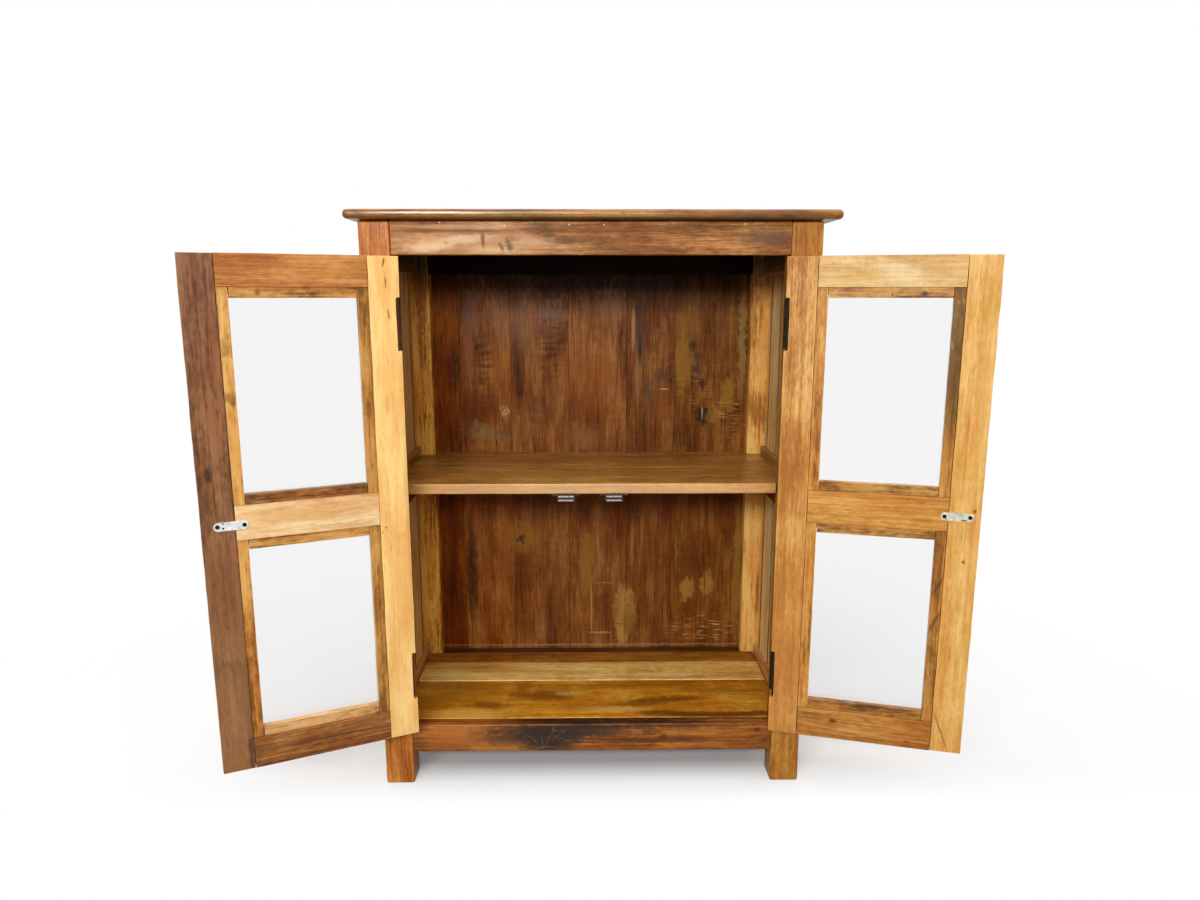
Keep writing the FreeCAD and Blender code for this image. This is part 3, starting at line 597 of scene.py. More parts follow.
LOOKS = {
    "front_left_post": wood("8b470e ba6f28 db9847", pores=0.5),
    "front_right_post": wood("8d520f b2782b d19a46", pores=0.5),
    # Painted light: the back posts' very light tones brighten their shaded inner faces, and their outer faces are
    # toned down. Painted shade darkens them under the top.
    "back_left_post": wood(
        "9a610d f4b244 fcd470", checks=0.8, cloud=2.4, marks=OUTER_POST_TONE + [POST_TOP_SHADE],
    ),
    "back_right_post": wood(
        "ab6e21 f2ba60 f6d482", checks=0.8, cloud=2.4, marks=OUTER_POST_TONE + [POST_TOP_SHADE],
    ),
    "front_top_rail": wood(
        "6a3c0e 9a6530 cc9660", rough=0.36, shine=0.12, cloud=2.0, streak=1.1,
        marks=stains(
            # Painted sheen: the five pale patches over the left half of the rail.
            (-200, 963, 130, 18, "d8a474", 0.5, 0.8), (-262, 958, 34, 7, "f0cca0", 0.6, 0.7, 4),
            (-205, 970, 44, 6, "f0cca0", 0.6, 0.7, 3), (-150, 952, 40, 6, "e8c096", 0.5, 0.7, -4),
            (-95, 966, 34, 8, "dcb084", 0.45, 0.8), (-232, 983, 116, 2.5, "7c3c14", 0.8, 0.5),
            (-232, 990, 120, 3, "d8ac74", 0.5, 0.6), (-176, 969, 3.5, 13, "6c4a22", 0.85, 0.4),
            (-133, 962, 8, 12, "6c4a22", 0.85, 0.5), (-147, 958, 3, 8, "6c4a22", 0.8, 0.4, 25),
            (-80, 988, 9, 8, "6a4418", 0.8, 0.5), (-66, 976, 10, 3, "4c2c10", 0.7, 0.5),
            (-38, 967, 30, 5, "5c3a18", 0.7, 0.6), (290, 972, 44, 15, "6a4a38", 0.75, 0.6),
            (-350, 975, 14, 14, "8a7048"), (140, 985, 90, 4, "6c3c12", 0.5, 0.6),
        ) + [
            fleck(-246, 996), fleck(-141, 991), fleck(-37, 993), fleck(20, 993, 0.8), fleck(250, 994, 0.8),
        ],
    ),
    "front_bottom_rail": wood(
        "5a2c05 8c521a b2722f", cloud=2.0, streak=1.9, ragged=5.0,
        knots=[knot(130, 92, 10, 8), knot(301, 102, 9, 8)],
        marks=stains(
            (-265, 90, 50, 20, "b4682c", 0.6, 0.8), (-150, 98, 60, 18, "40291a", 0.85, 0.6),
            (-80, 92, 66, 32, "241910", 0.95, 0.4), (-20, 102, 46, 18, "30201a", 0.9, 0.5),
            (28, 104, 34, 13, "3a2618", 0.8, 0.6), (60, 114, 160, 7, "281a12", 0.9, 0.6),
            (170, 88, 60, 4, "50280c"), (105, 100, 14, 6, "2e1c10", 0.7, 0.6),
            (-172, 80, 30, 8, "5a3418", 0.6, 0.7),
        ) + [
            scratch(-92, 78, 0.5, 13, "94704a", 0.55, 6), scratch(-80, 86, 0.5, 15, "86643e", 0.5, -28),
            scratch(-62, 94, 0.4, 17, "7c5c3a", 0.5, -52), scratch(-104, 82, 0.5, 11, "94704a", 0.5, 34),
            scratch(-118, 92, 0.4, 15, "86643e", 0.45, 58), scratch(-88, 71, 15, 0.7, "a07c54", 0.6, 3),
            scratch(-44, 84, 15, 0.5, "7c5c3a", 0.5, -20), scratch(-30, 92, 12, 0.4, "7c5c3a", 0.4, -34),
            scratch(-72, 104, 0.4, 12, "7c5c3a", 0.45, -14), scratch(-140, 100, 12, 0.5, "86643e", 0.4, 22),
        ],
    ),
    # Painted shade: the back top rail is toned near black, for the shade under the top.
    "back_top_rail": wood("140804 1e0e06 2e1a0c", shine=0.03, blush="2a160a"),
    "back_bottom_rail": wood("3a1e0a 543010 6c4420"),
    # Painted shade: the side top rails are darkened under the top.
    "side_rail": wood("a07030 d8a860 ecc688", checks=0.8, marks=SIDE_TOP_SHADE),
    "side_mid_rail": wood("885c22 bc8c40 d8ac60", checks=0.8),
    "top_board": wood(
        "56320c 86561e ae7e38", rough=0.3, shine=0.3, cloud=1.8, streak=1.8,
        marks=[
            # Painted highlight along the nose on the left, fainter further right, and painted shade along the
            # nose's lower edge.
            ((-255, -216, 1009.5), (100, 6, 1.5), "fae6c0", 0.85, 0.6, 0),
            ((-60, -216, 1010), (90, 6, 1.2), "d8b47c", 0.5, 0.7, 0),
            ((0, -214, 1001.5), (420, 8, 2.2), "3c220c", 0.7, 0.6, 0),
            ((180, -214, 1008), (150, 8, 3), "6c4826", 0.5, 0.7, 0),
        ],
    ),
    "shelf": wood(
        "8c5a1e b47f38 d5a55c", rough=0.34, shine=0.4, coarse=1.8,
        marks=blots(
            (0, -157.5, 400, 4.5, "e4b884", 0.5, 0.4), (-130, 128, 45, 3, "dcb888", 0.8, 0.5, 3),
            (-60, 131, 14, 2.5, "dcb888", 0.7, 0.5, -4), (100, 134, 40, 2.4, "d0a878", 0.7, 0.5),
            (-100, 120, 60, 3, "5c3814", 0.7, 0.5), (-30, 126, 26, 3, "e0c090", 0.6, 0.5, 5),
        ),
    ),
    "floor_front_board": wood(
        "985c0a c0841e deaa3e", coarse=2.2, fibre=0.7, streak=1.0, cloud=1.6, blush="f0c890", ragged=5.0,
        marks=blots(
            (-97, -74, 56, 22, "7a4006", 0.8, 0.5), (-142, -52, 14, 44, "8a4c0c", 0.7, 0.6, 20),
            (-44, -66, 26, 7, "dcb46c", 0.45, 0.8), (10, -34, 110, 12, "8c520e", 0.6, 0.7),
            (140, -95, 76, 13, "6c3804", 0.85, 0.5, -6), (84, -114, 44, 11, "7c4408", 0.75, 0.6),
            (215, -158, 112, 13, "5e3004", 0.9, 0.5, 3), (112, -145, 46, 9, "6c3804", 0.8, 0.6),
            (306, -152, 40, 9, "643404", 0.85, 0.5, -10), (-198, -117, 34, 14, "7a4608", 0.8, 0.5),
            (-236, -150, 70, 18, "e4bc5c", 0.5, 0.8), (-268, -41, 60, 40, "8a5418", 0.6, 0.9),
            (0, -178, 400, 5, "d4b46c", 0.7, 0.4), (40, -135, 60, 12, "e2b85a", 0.5, 0.7),
            (260, -60, 70, 12, "98601a", 0.5, 0.7), (-300, -100, 30, 20, "a0681a", 0.5, 0.8),
        ),
    ),
    "floor_middle_board": wood(
        "bb8a34 eec26c fee292", figure=0.2, coarse=2.0, fibre=0.9,
        marks=blots((-120, 40, 90, 7, "c89850", 0.5, 0.6, 2), (150, 20, 120, 6, "fae0a8", 0.5, 0.7)),
    ),
    "floor_rear_board": wood("704006 a46c1e c48a30", coarse=2.0, marks=[blot(0, 156, 400, 10, "382006")]),
    "knob": wood("5a3418 8a5428 a87440", ring=3.0, figure=0.6, rough=0.32),
    "cleats": wood("4c2c10 6c4420 886038"),
    "left_door_top_rail": wood("924f1c b67438 d19453", streak=1.0, fibre=1.0, cloud=1.8),
    "left_door_mid_rail": wood(
        "d5a770 efcc98 fbe3b7", figure=0.2, streak=1.0,
        marks=stains((-160, 535, 60, 9, "dca86c", 0.5, 0.7, 8), (-100, 520, 40, 6, "e2b078", 0.5, 0.7)),
    ),
    "left_door_bottom_rail": wood(
        "5f300e 8e5727 b7803f", streak=1.5,
        marks=stains(
            (-60, 150, 24, 14, "4c2810", 0.5, 0.7), (-230, 160, 60, 6, "5c3414", 0.5, 0.6),
            (-165, 146, 90, 1.6, "381c0a", 0.75, 0.6), (-150, 150, 60, 7, "5c3012", 0.4, 0.8),
        ),
    ),
    "left_door_meeting_stile": wood(
        "482610 744a2b 946442", pores=0.3, figure=0.3, cloud=2.0, mottle=1.4, knots=[knot(-19, 613, 8, 12)],
        marks=[
            stain(-27, 250, 60, 230, "a5764c", 0.45, 0.9), stain(-19, 613, 6, 9, "3a2014", 0.7, 0.6),
            # Painted shade behind the strike plate's slot.
            painted_slot_shade((-34.2, -166, 531), (3.4, 3, 6.5)),
            stain(-47, 144, 5, 30, "3c2414", 0.7, 0.6), stain(-20, 134, 20, 16, "96622e", 0.6, 0.7),
            stain(-24, 300, 30, 8, "5c3826", 0.4, 0.8), stain(-30, 420, 16, 60, "5a2c14", 0.4, 0.8),
        ],
    ),
    "left_door_hinge_stile": wood(
        "eab060 fcd082 ffe298", fibre=0.6, streak=0.6, cloud=0.8, figure=0.2, mottle=0.5, checks=0.9,
        marks=stains(
            (-300, 932, 1.4, 7, "6c4418", 0.9, 0.4, 10), (-302, 901, 1.2, 10, "6c4418", 0.8, 0.4),
            (-305, 851, 1.2, 9, "6c4418", 0.8, 0.4, -6), (-322, 520, 4, 120, "c88838", 0.5, 0.7),
            (-296, 705, 3, 16, "dca050"), (-284, 500, 1.4, 1.8, "6c4418", 0.8, 0.4),
            (-278, 492, 1.2, 1.4, "6c4418", 0.8, 0.4), (-305, 380, 8, 50, "eebc6c", 0.6, 0.7),
        ),
    ),
    "left_door_head_bead": wood(
        "6c4414 b07c3c d49c54", cloud=2.6, mottle=1.6, streak=1.0,
        marks=stains((-110, 885, 4, 5, "5c3410", 0.7, 0.6), (-190, 883, 5, 5, "5c3410", 0.7, 0.6)),
    ),
    "left_door_foot_bead": wood("5c3814 946030 b8844a", cloud=2.6, mottle=1.6),
    "lower_left_door_foot_bead": wood("7c5220 c8965a dcb07c", cloud=1.8, mottle=1.4),
    "left_door_meeting_bead": wood(
        "8a5620 c88e46 e0ac60", cloud=2.4, mottle=1.4,
        marks=stains((-60, 800, 10, 16, "8a5a20", 0.7, 0.6), (-60, 730, 10, 12, "7c4e1c", 0.7, 0.6)),
    ),
    "left_door_hinge_bead": wood("7c501c b68240 d09c50", cloud=2.2, mottle=1.2),
    "right_door_head_bead": wood(
        "6c441c b4823e d4a45a", cloud=2.6, mottle=1.6, streak=1.0,
        marks=stains((112, 884, 4, 4, "3c2410", 0.8, 0.5), (160, 882, 2, 2, "3c2410", 0.8, 0.5)),
    ),
    "right_door_foot_bead": wood("603c14 a07032 c4944c", cloud=2.6, mottle=1.6),
    "right_door_meeting_bead": wood(
        "6c4412 a8742e cc9648", cloud=2.2, mottle=1.2,
        marks=stains((60, 790, 20, 140, "50340c", 0.8, 0.6), (60, 400, 20, 70, "5c3c10", 0.7, 0.8)),
    ),
    "lower_right_door_meeting_bead": wood(
        "7c5018 b07a36 d09c50", cloud=2.0, mottle=1.2,
        marks=stains((60, 350, 3, 20, "4c3010", 0.7, 0.6, 24), (60, 410, 3, 18, "4c3010", 0.7, 0.6, 24)),
    ),
    "right_door_hinge_bead": wood("8c5c22 c88e42 e0ac60", cloud=2.0, mottle=1.2),
    "right_door_top_rail": wood(
        "c49650 dcb87a f0d296", ripple=0.45, fibre=0.8, streak=1.0,
        marks=stains(
            (150, 916, 34, 15, "f8e6b8", 0.5, 0.8, 12), (215, 908, 40, 10, "d0a050", 0.45, 0.8, -8),
            (96, 922, 30, 8, "c8964a", 0.4, 0.8, 6),
        ),
    ),
    "right_door_mid_rail": wood("a96b26 cd9444 e6b061", streak=1.1),
    "right_door_bottom_rail": wood(
        "84501a b67c36 d4a056", streak=1.3, cloud=1.6, knots=[knot(214, 152, 8, 5)],
        marks=stains((214, 152, 5, 3, "5c3410", 0.8, 0.5), (90, 130, 4, 2, "5c3410", 0.7, 0.5)),
    ),
    "right_door_meeting_stile": wood(
        "c9933a e0ae5f f4c67e", checks=0.7, fibre=0.9,
        marks=[
            stain(13, 541, 2.5, 3.5, "5c3814", 0.85, 0.5), stain(24, 457, 2.5, 2.5, "5c3814", 0.85, 0.5),
            stain(37, 156, 1.1, 38, "6a4014", 0.85, 0.5, -21), stain(30, 150, 9, 24, "c08c3c", 0.4, 0.8),
            # Painted shade behind the strike plate's slot.
            painted_slot_shade((28.5, -166, 526), (6, 3, 2)), stain(16, 720, 8, 90, "d09c4c", 0.5, 0.8),
        ],
    ),
    "right_door_hinge_stile": wood(
        "a06425 c69047 e2b26c", pores=0.5, cloud=2.4, streak=1.8, mottle=1.2,
        marks=[stain(295, 230, 80, 330, "bd7934", 0.6, 0.9)],
    ),
}

# The four boards of a side panel, from the front to the back. Their very light tones are painted light, which
# brightens the shaded inner faces.
SIDE_LOOKS = [
    wood("b08434 f0c470 fcd890", streak=1.6, checks=1.0),
    wood("d8a450 ffdc94 ffecb4", streak=1.6, checks=1.0),
    wood("e0ac5c ffe4a0 fff2c4", streak=1.4, checks=1.2),
    wood("cc9038 ffd074 ffe498", streak=1.8, checks=1.0),
]


def wall_look(tones, **more):
    """Boards of the back: dull and calm under their stains."""
    calm = wood(
        tones, ragged=6.0, blush="ecd2b8", shine=0.08, fibre=1.3, streak=0.6, cloud=1.8, mottle=0.5,
        ripple=0.3, figure=0.25, pores=0.2,
    )
    return {**calm, **more}


# The six boards of the back, from the left as seen from the front
BACK_LOOKS = [
    wall_look("4b1d01 803d04 a45e14"),
    wall_look("4a2204 8c521e b87b3c", saws=[knot(-218, 730, 14, 60)]),
    wall_look("462205 7e4c20 a6743e", saws=[knot(-78, 790, 26, 66)], knots=[knot(-151, 366, 12, 12)]),
    wall_look("4a2406 824e22 aa7842"),
    wall_look("422008 77471e 9e6e38"),
    wall_look("442406 774917 9e7036", figure=0.3,
              knots=[knot(235, 638, 18, 24), knot(209, 778, 8, 12), knot(231, 702, 9, 12)]),
]

# Marks over the back's inner face: painted shade in a near-black band across the top, painted sheen in greyish
# pale patches high up, dust, old paint, filler and damp, and then scratches
WALL_DEPTH = 163
BACK_DEPTH = 177
FACE_REACH = 8
WALL_MARKS = stains(
    # Painted shade: the near-black band 975 high across the top, under the top rail.
    (0, 330, 500, 260, "6c360e", 0.4, 0.9), (0, 975, 500, 108, "0c0502", 0.96, 0.5),
    (-281, 735, 9, 55, "30160a", 0.7, 0.7), (-300, 280, 14, 150, "3c1606", 0.5, 0.7),
    (-249, 838, 14, 46, "7c5c4a"), (-252, 752, 11, 52, "9a643e"), (-241, 655, 34, 34, "642c0c", 0.6, 0.7),
    # Painted sheen: the greyish pale patch at -149, 828.
    (-186, 706, 20, 60, "844610", 0.5, 0.8), (-149, 828, 70, 44, "8a6248", 0.45, 0.9),
    (-182, 640, 9, 18, "b48c54", 0.95, 0.25), (-232, 598, 24, 20, "8c6c40", 0.75, 0.5),
    (-190, 590, 20, 16, "86603e"), (-120, 650, 16, 30, "5c2e1c", 0.5, 0.8),
    # Painted sheen: the greyish pale patch at -80, 845.
    (-80, 845, 24, 22, "806452", 0.55, 0.7), (-60, 600, 14, 30, "5a3018", 0.5, 0.8),
    (-16, 588, 30, 24, "a4724a", 0.4, 0.8), (-8, 716, 60, 70, "8a4a14", 0.45, 0.9),
    # Painted sheen: the greyish pale patch at 34, 858.
    (18, 891, 9, 11, "1c0e08", 0.8, 0.5), (34, 858, 34, 30, "8c6444", 0.4, 0.9),
    (100, 806, 9, 50, "4c3830", 0.75, 0.5), (101, 768, 3, 34, "2c2220", 0.85, 0.5),
    (87, 815, 4, 42, "ac8250", 0.7, 0.5), (97, 700, 4.5, 44, "94683a"),
    (120, 690, 10, 30, "604434", 0.5, 0.7), (151, 689, 9, 1.6, "cca272", 0.9, 0.5),
    (146, 720, 17, 7, "54301e"), (148, 655, 16, 34, "945420", 0.5, 0.7),
    (192, 742, 17, 58, "926420", 0.8, 0.4), (203, 840, 24, 56, "7c5420", 0.5, 0.8),
    (222, 742, 6, 34, "3a2c28", 0.75, 0.5), (209, 778, 6, 8, "38281c", 0.8, 0.5),
    (230, 702, 7, 7, "3c2c20", 0.8, 0.5), (235, 638, 16, 20, "281c16", 0.92, 0.5),
    (233, 640, 1.4, 13, "c0a078", 0.8, 0.5), (258, 638, 16, 14, "94682a", 0.7, 0.5),
    (285, 681, 14, 36, "926a22", 0.8, 0.4), (309, 649, 5, 7, "26180e", 0.8, 0.5),
    (313, 790, 9, 110, "94723a", 0.8, 0.5), (317, 300, 9, 170, "8e6a2c", 0.75, 0.5),
    (270, 800, 16, 70, "5a3414", 0.5, 0.8), (-151, 366, 34, 30, "8a5c20", 0.75, 0.5),
    (-153, 366, 9, 7, "30200e", 0.85, 0.5), (-13, 312, 15, 76, "946428", 0.7, 0.4),
    (70, 200, 25, 56, "b08440", 0.75, 0.3), (66, 140, 12, 20, "b08440", 0.75, 0.4),
    (84, 175, 14, 34, "7c5420", 0.7, 0.5), (0, 212, 1.8, 60, "b48848", 0.8, 0.4),
    (18, 151, 24, 2.4, "b48848", 0.8, 0.4), (28, 265, 22, 1.8, "a27838", 0.7, 0.5),
    (30, 210, 26, 52, "54280a", 0.5, 0.7), (208, 250, 17, 24, "a47a34", 0.7, 0.4),
    (251, 263, 14, 26, "a47a34", 0.7, 0.4), (247, 268, 2, 18, "4c2c10", 0.7, 0.5),
    (-258, 290, 10, 110, "28120a", 0.7, 0.7), (-90, 190, 12, 66, "30160a", 0.6, 0.8),
    (88, 352, 4, 54, "9a6636", 0.6, 0.5, 4), (109, 390, 4, 40, "94602e", 0.6, 0.5, -5),
    (190, 300, 5, 80, "40200c", 0.5, 0.7), (0, 122, 400, 2, "bc9c72", 0.35, 0.7),
)
WALL_SCUFFS = stains(
    (248, 160, 76, 30, "c89c64", 0.9, 0.5), (290, 640, 34, 50, "b48a54", 0.8, 0.6),
    (72, 190, 26, 54, "50300e", 0.8, 0.5), (-230, 596, 40, 24, "b09068"),
    (200, 690, 60, 60, "b08450", 0.4, 0.8),
)

# Dust and damp on the back's outer face
BACK_MARKS = stains(
    (-120, 90, 160, 22, "a08868", 0.5, 0.8), (160, 84, 130, 18, "98805c", 0.5, 0.8),
    (60, 610, 26, 150, "3c2010", 0.5, 0.8), (-230, 820, 20, 110, "402412", 0.5, 0.8),
    (-40, 930, 180, 30, "2c180c", 0.5, 0.8), (230, 380, 16, 90, "8a5c30", 0.5, 0.7),
)


# Boards

BOARD_NUMBERS = itertools.count(1)
HEART_REACH = (1000, 60, 90)
HEART_STEPS = (7, 3, 5)
HEART_LEAST = 40


def heart_of(number):
    """Where the tree's heart lies from a board's middle, in millimetres: elsewhere for each board."""
    along, out, aside = HEART_REACH
    turns = [step * number for step in HEART_STEPS]
    return along * math.sin(turns[0]), HEART_LEAST + out * math.sin(turns[1]) ** 2, aside * math.cos(turns[2])


def work_surface(piece, axis, shave, shave_size):
    """Wavers, wears and planes the faces of a shaped board."""
    cut_rings(piece, axis, RING_SPACING)
    note_wear(piece)
    plane_by_hand(piece, shave, shave_size)


def make_board(node, low, high, look=None, tag="timber", cuts=(), adds=(), late_adds=(), reach=EDGE_REACH,
               profile=EDGE_PROFILE, shave=PLANE_DEPTH, shave_size=PLANE_SIZE):
    """One board from a squared blank: cut, eased, wavered by the plane, worn and varnished. A board that
    is given no look has the one that goes by its node's name."""
    name = f"{node}_{tag}"
    piece = block(name, low, high)
    for box in adds:
        combine(piece, *box, "UNION")
    for box in cuts:
        combine(piece, *box, "DIFFERENCE")
    ease_edges(piece, min(reach, EASE_LIMIT_SHARE * min(high - low)), profile)
    grain = Grain(BODY_OF[node], low, high, heart_of(next(BOARD_NUMBERS)))
    work_surface(piece, grain.axis, min(shave, reach / 2), shave_size)
    for box in late_adds:
        combine(piece, *box, "UNION")
    settle(piece, node, varnished_teak(f"varnished teak {name}", grain, **(look or LOOKS[node])))


def between(low, high, axis, start, end):
    """A box's corners with its run along one axis replaced."""
    low, high = low.copy(), high.copy()
    low[axis], high[axis] = start, end
    return low, high


def build_posts_and_rails():
    """The posts, and the rails between them. The rails' tenons stay hidden in the posts."""
    posts = {}
    for node in ("front_left_post", "front_right_post", "back_left_post", "back_right_post"):
        posts[node] = span(node)
        make_board(node, *posts[node], reach=POST_EDGE_REACH, profile=POST_EDGE_PROFILE)
    for end in ("front", "back"):
        left, right = posts[f"{end}_left_post"], posts[f"{end}_right_post"]
        for level in ("top", "bottom"):
            node = f"{end}_{level}_rail"
            make_board(node, *between(*span(node), 0, left[1].x, right[0].x))
    for side in ("left", "right"):
        front, back = posts[f"front_{side}_post"], posts[f"back_{side}_post"]
        for level in ("top", "mid", "bottom"):
            node = f"{side}_side_{level}_rail"
            look = LOOKS["side_mid_rail" if level == "mid" else "side_rail"]
            make_board(node, *between(*span(node), 1, front[1].y, back[0].y), look)
    return posts


def marks_within(marks, axis, low, high):
    """Those of some marks that reach a board between two corners."""
    near = []
    for mark in marks:
        centre, half = mark[0][axis] * MM, mark[1][axis] * 2 * MM
        if centre + half > low[axis] and centre - half < high[axis]:
            near.append(mark)
    return near


def edge_shade(low, high, axis, edge):
    """A line of painted shade along one edge of a board, in the gap beside it."""
    centre = (low + high) / 2 / MM
    half = [ENDLESS] * 3
    centre[axis], half[axis] = edge / MM, GAP_SHADE_REACH
    return (tuple(centre), tuple(half), *GAP_SHADE)


def build_boarding(node, looks, axis, gap, reach, marks=(), scuffs=(), shaded_gaps=False):
    """Upright boards side by side, each with a tongue across the gap to the next."""
    boxes = solid_spans(node)
    for index, (low, high) in enumerate(boxes):
        tongues = []
        if index + 1 < len(boxes):
            next_start = boxes[index + 1][0][axis]
            low, high = between(low, high, axis, low[axis], next_start - gap)
            depth = 1 - axis
            outward = 1 if low[depth] + high[depth] > 0 else -1
            thick = high[depth] - low[depth]
            middle = (low[depth] + high[depth]) / 2 + outward * thick * (TONGUE_INSET_SHARE - 0.5)
            half = thick * TONGUE_SHARE / 2
            tongue = between(low, high, axis, high[axis] - gap - OVERRUN, next_start + OVERRUN)
            tongues = [between(*tongue, depth, middle - half, middle + half)]
        look = dict(looks[index % len(looks)])
        look["marks"] = marks_within(marks, axis, low, high)
        # Painted shade along both edges of the board, in the gaps
        if shaded_gaps:
            look["marks"] += [edge_shade(low, high, axis, edge) for edge in (low[axis], high[axis])]
        look["scuffs"] = marks_within(scuffs, axis, low, high)
        make_board(node, low, high, look, f"plank_{index + 1}", late_adds=tongues, reach=reach)


TOP_HEART = (300, 30, -140)


def make_top():
    """The top: its corners rounded in plan, then a rounded nose run all round."""
    node = "top_board"
    low, high = span(node)
    nose = TOP_NOSE_SHARE * (high.z - low.z)
    piece = block(f"{node}_timber", low, high)
    with at_bench(piece):
        take_edges(piece, runs_along(2))
        bpy.ops.mesh.bevel(offset=TOP_CORNER, segments=ROUND_STEPS, profile=ROUND_PROFILE)
        bpy.ops.mesh.select_all(action="DESELECT")
        take_edges(piece, lambda edge: edge.calc_face_angle(0) > SHARP_EDGE)
        bpy.ops.mesh.bevel(offset=nose, segments=ROUND_STEPS, profile=ROUND_PROFILE)
    grain = Grain(BODY_OF[node], low, high, TOP_HEART)
    work_surface(piece, grain.axis, PLANE_DEPTH, PLANE_SIZE)
    settle(piece, node, varnished_teak("varnished teak top", grain, **LOOKS[node]))


def build_flat_boards(posts):
    """The top, the shelf and the floor. The shelf and floor are notched round the posts."""
    make_top()
    clear = Vector((POST_CLEARANCE,) * 3)
    for node in ("shelf", "floor_front_board", "floor_middle_board", "floor_rear_board"):
        low, high = span(node)
        notches = [
            (post[0] - clear, post[1] + clear) for post in posts.values()
            if post[1].y > low.y and post[0].y < high.y
        ]
        make_board(node, low, high, cuts=notches)
    for node in ("shelf_cleats", "floor_cleats"):
        for index, (low, high) in enumerate(solid_spans(node)):
            make_board(node, low, high, LOOKS["cleats"], f"strip_{index + 1}")


def bead_place(low, high, windows):
    """Which side of its window a glazing bead is on."""
    middle = (low + high) / 2
    if high.z - low.z > high.x - low.x:
        window_middle = (windows[0][0].x + windows[0][1].x) / 2
        return "hinge" if abs(middle.x) > abs(window_middle) else "meeting"
    pane = min(windows, key=lambda window: abs((window[0].z + window[1].z) / 2 - middle.z))
    return "head" if middle.z > (pane[0].z + pane[1].z) / 2 else "foot"


def build_stiles(side, glass_low, glass_high):
    """A door's two stiles, rebated for the panes, the hinge stile also let in for its leaves. Gives the
    width of the rebate's lip."""
    door = f"{side}_door"
    leaves = solid_spans(f"{door}_hinge_leaves")
    lip_width = 0
    for name in ("meeting_stile", "hinge_stile"):
        node = f"{door}_{name}"
        low, high = span(node)
        rebate = between(low, high, 1, glass_low.y, high.y + OVERRUN)
        if low.x < glass_low.x:
            rebate = between(*rebate, 0, glass_low.x, high.x + OVERRUN)
            lip_width = high.x - glass_low.x
        else:
            rebate = between(*rebate, 0, low.x - OVERRUN, glass_high.x)
        cuts = [between(*rebate, 2, low.z - OVERRUN, high.z + OVERRUN)]
        for leaf_low, leaf_high in leaves if name == "hinge_stile" else ():
            notch = between(low, high, 2, leaf_low.z - MORTISE_SLACK, leaf_high.z + MORTISE_SLACK)
            notch = between(*notch, 1, low.y - OVERRUN, high.y + OVERRUN)
            if side == "right":
                notch = between(*notch, 0, leaf_low.x, high.x + OVERRUN)
            else:
                notch = between(*notch, 0, low.x - OVERRUN, leaf_high.x)
            cuts.append(notch)
        make_board(
            node, low, high, cuts=cuts, reach=DOOR_EDGE_REACH, shave=STILE_SHAVE, shave_size=STILE_WAVE,
        )
    return lip_width


def build_rails(door, glass_low, glass_high, lip_width):
    """A door's three rails: a body behind the lip's face, and the lip in front of the panes."""
    for name in ("top_rail", "mid_rail", "bottom_rail"):
        node = f"{door}_{name}"
        low, high = span(node)
        foot = low.z if name == "bottom_rail" else low.z + lip_width
        head = high.z if name == "top_rail" else high.z - lip_width
        body_low = Vector((glass_low.x, glass_low.y, foot))
        body_high = Vector((glass_high.x, high.y, head))
        lip_low = Vector((glass_low.x + lip_width, low.y, low.z))
        lip_high = Vector((glass_high.x - lip_width, glass_low.y + OVERRUN, high.z))
        make_board(node, body_low, body_high, adds=[(lip_low, lip_high)], reach=DOOR_EDGE_REACH)


def build_beads(door):
    """The beads that hold a door's panes. Some have a look of their own at one of the two windows."""
    node = f"{door}_glazing_beads"
    windows = [span(f"{door}_{name}_glass") for name in ("upper", "lower")]
    for index, (low, high) in enumerate(solid_spans(node)):
        place = f"{door}_{bead_place(low, high, windows)}_bead"
        level = "upper" if low.z + high.z > windows[0][0].z + windows[1][1].z else "lower"
        look = LOOKS.get(f"{level}_{place}", LOOKS[place])
        make_board(
            node, low, high, look, f"strip_{index + 1}",
            reach=BEAD_EDGE_REACH, shave=BEAD_SHAVE, shave_size=BEAD_WAVE,
        )


def build_door(side):
    """A door's stiles, rails and beads, made shut."""
    door = f"{side}_door"
    glass = span(f"{door}_upper_glass")
    lip_width = build_stiles(side, *glass)
    build_rails(door, *glass, lip_width)
    build_beads(door)


# Metal, glass and plastic

def float_glass():
    """Clear float glass: sharp reflections, a faint grey body, and shadows that let light pass."""
    material, tree = blank_material("clear float glass")
    body = add(tree, "BsdfPrincipled", {
        "Base Color": linear("f3f3f3"), "Roughness": 0.0, "IOR": 1.5, "Transmission Weight": 1.0,
    })
    shadow = add(tree, "LightPath", {}, out=1)
    clear = add(tree, "BsdfTransparent", {"Color": linear("f3f3f3")})
    surface = add(tree, "MixShader", {0: shadow, 1: body, 2: clear})
    add(tree, "OutputMaterial", {"Surface": surface})
    return material


SKIN_DETAIL = 6.0
SKIN_LIMITS = {"From Min": 0.35, "From Max": 0.65}
SKIN_RELIEF = 0.4


def mottled_skin(name, tones, rough, metallic, grit, relief=0.2, shine=0.5):
    """A skin that breaks from one tone into the other in blotches of the grit's size, with its
    gloss uneven to match. Grit and relief are in millimetres."""
    material, tree = blank_material(name)
    place = add(tree, "TexCoord", {}, out=3)
    blotch = add(tree, "TexNoise", {"Vector": place, "Scale": 1 / (grit * MM), "Detail": SKIN_DETAIL})
    share = add(tree, "MapRange", {"Value": blotch, **SKIN_LIMITS})
    colour = add(tree, "Mix", {0: share, 6: linear(tones[0]), 7: linear(tones[1])}, out=2, data_type="RGBA")
    roughness = uneven_gloss(tree, blotch, rough, SKIN_GLOSS)
    normal = add(tree, "Bump", {"Strength": SKIN_RELIEF, "Distance": relief * MM, "Height": blotch})
    surface = add(tree, "BsdfPrincipled", {
        "Base Color": colour, "Roughness": roughness, "Metallic": metallic, "Normal": normal,
        "Specular IOR Level": shine,
    })
    add(tree, "OutputMaterial", {"Surface": surface})
    return material


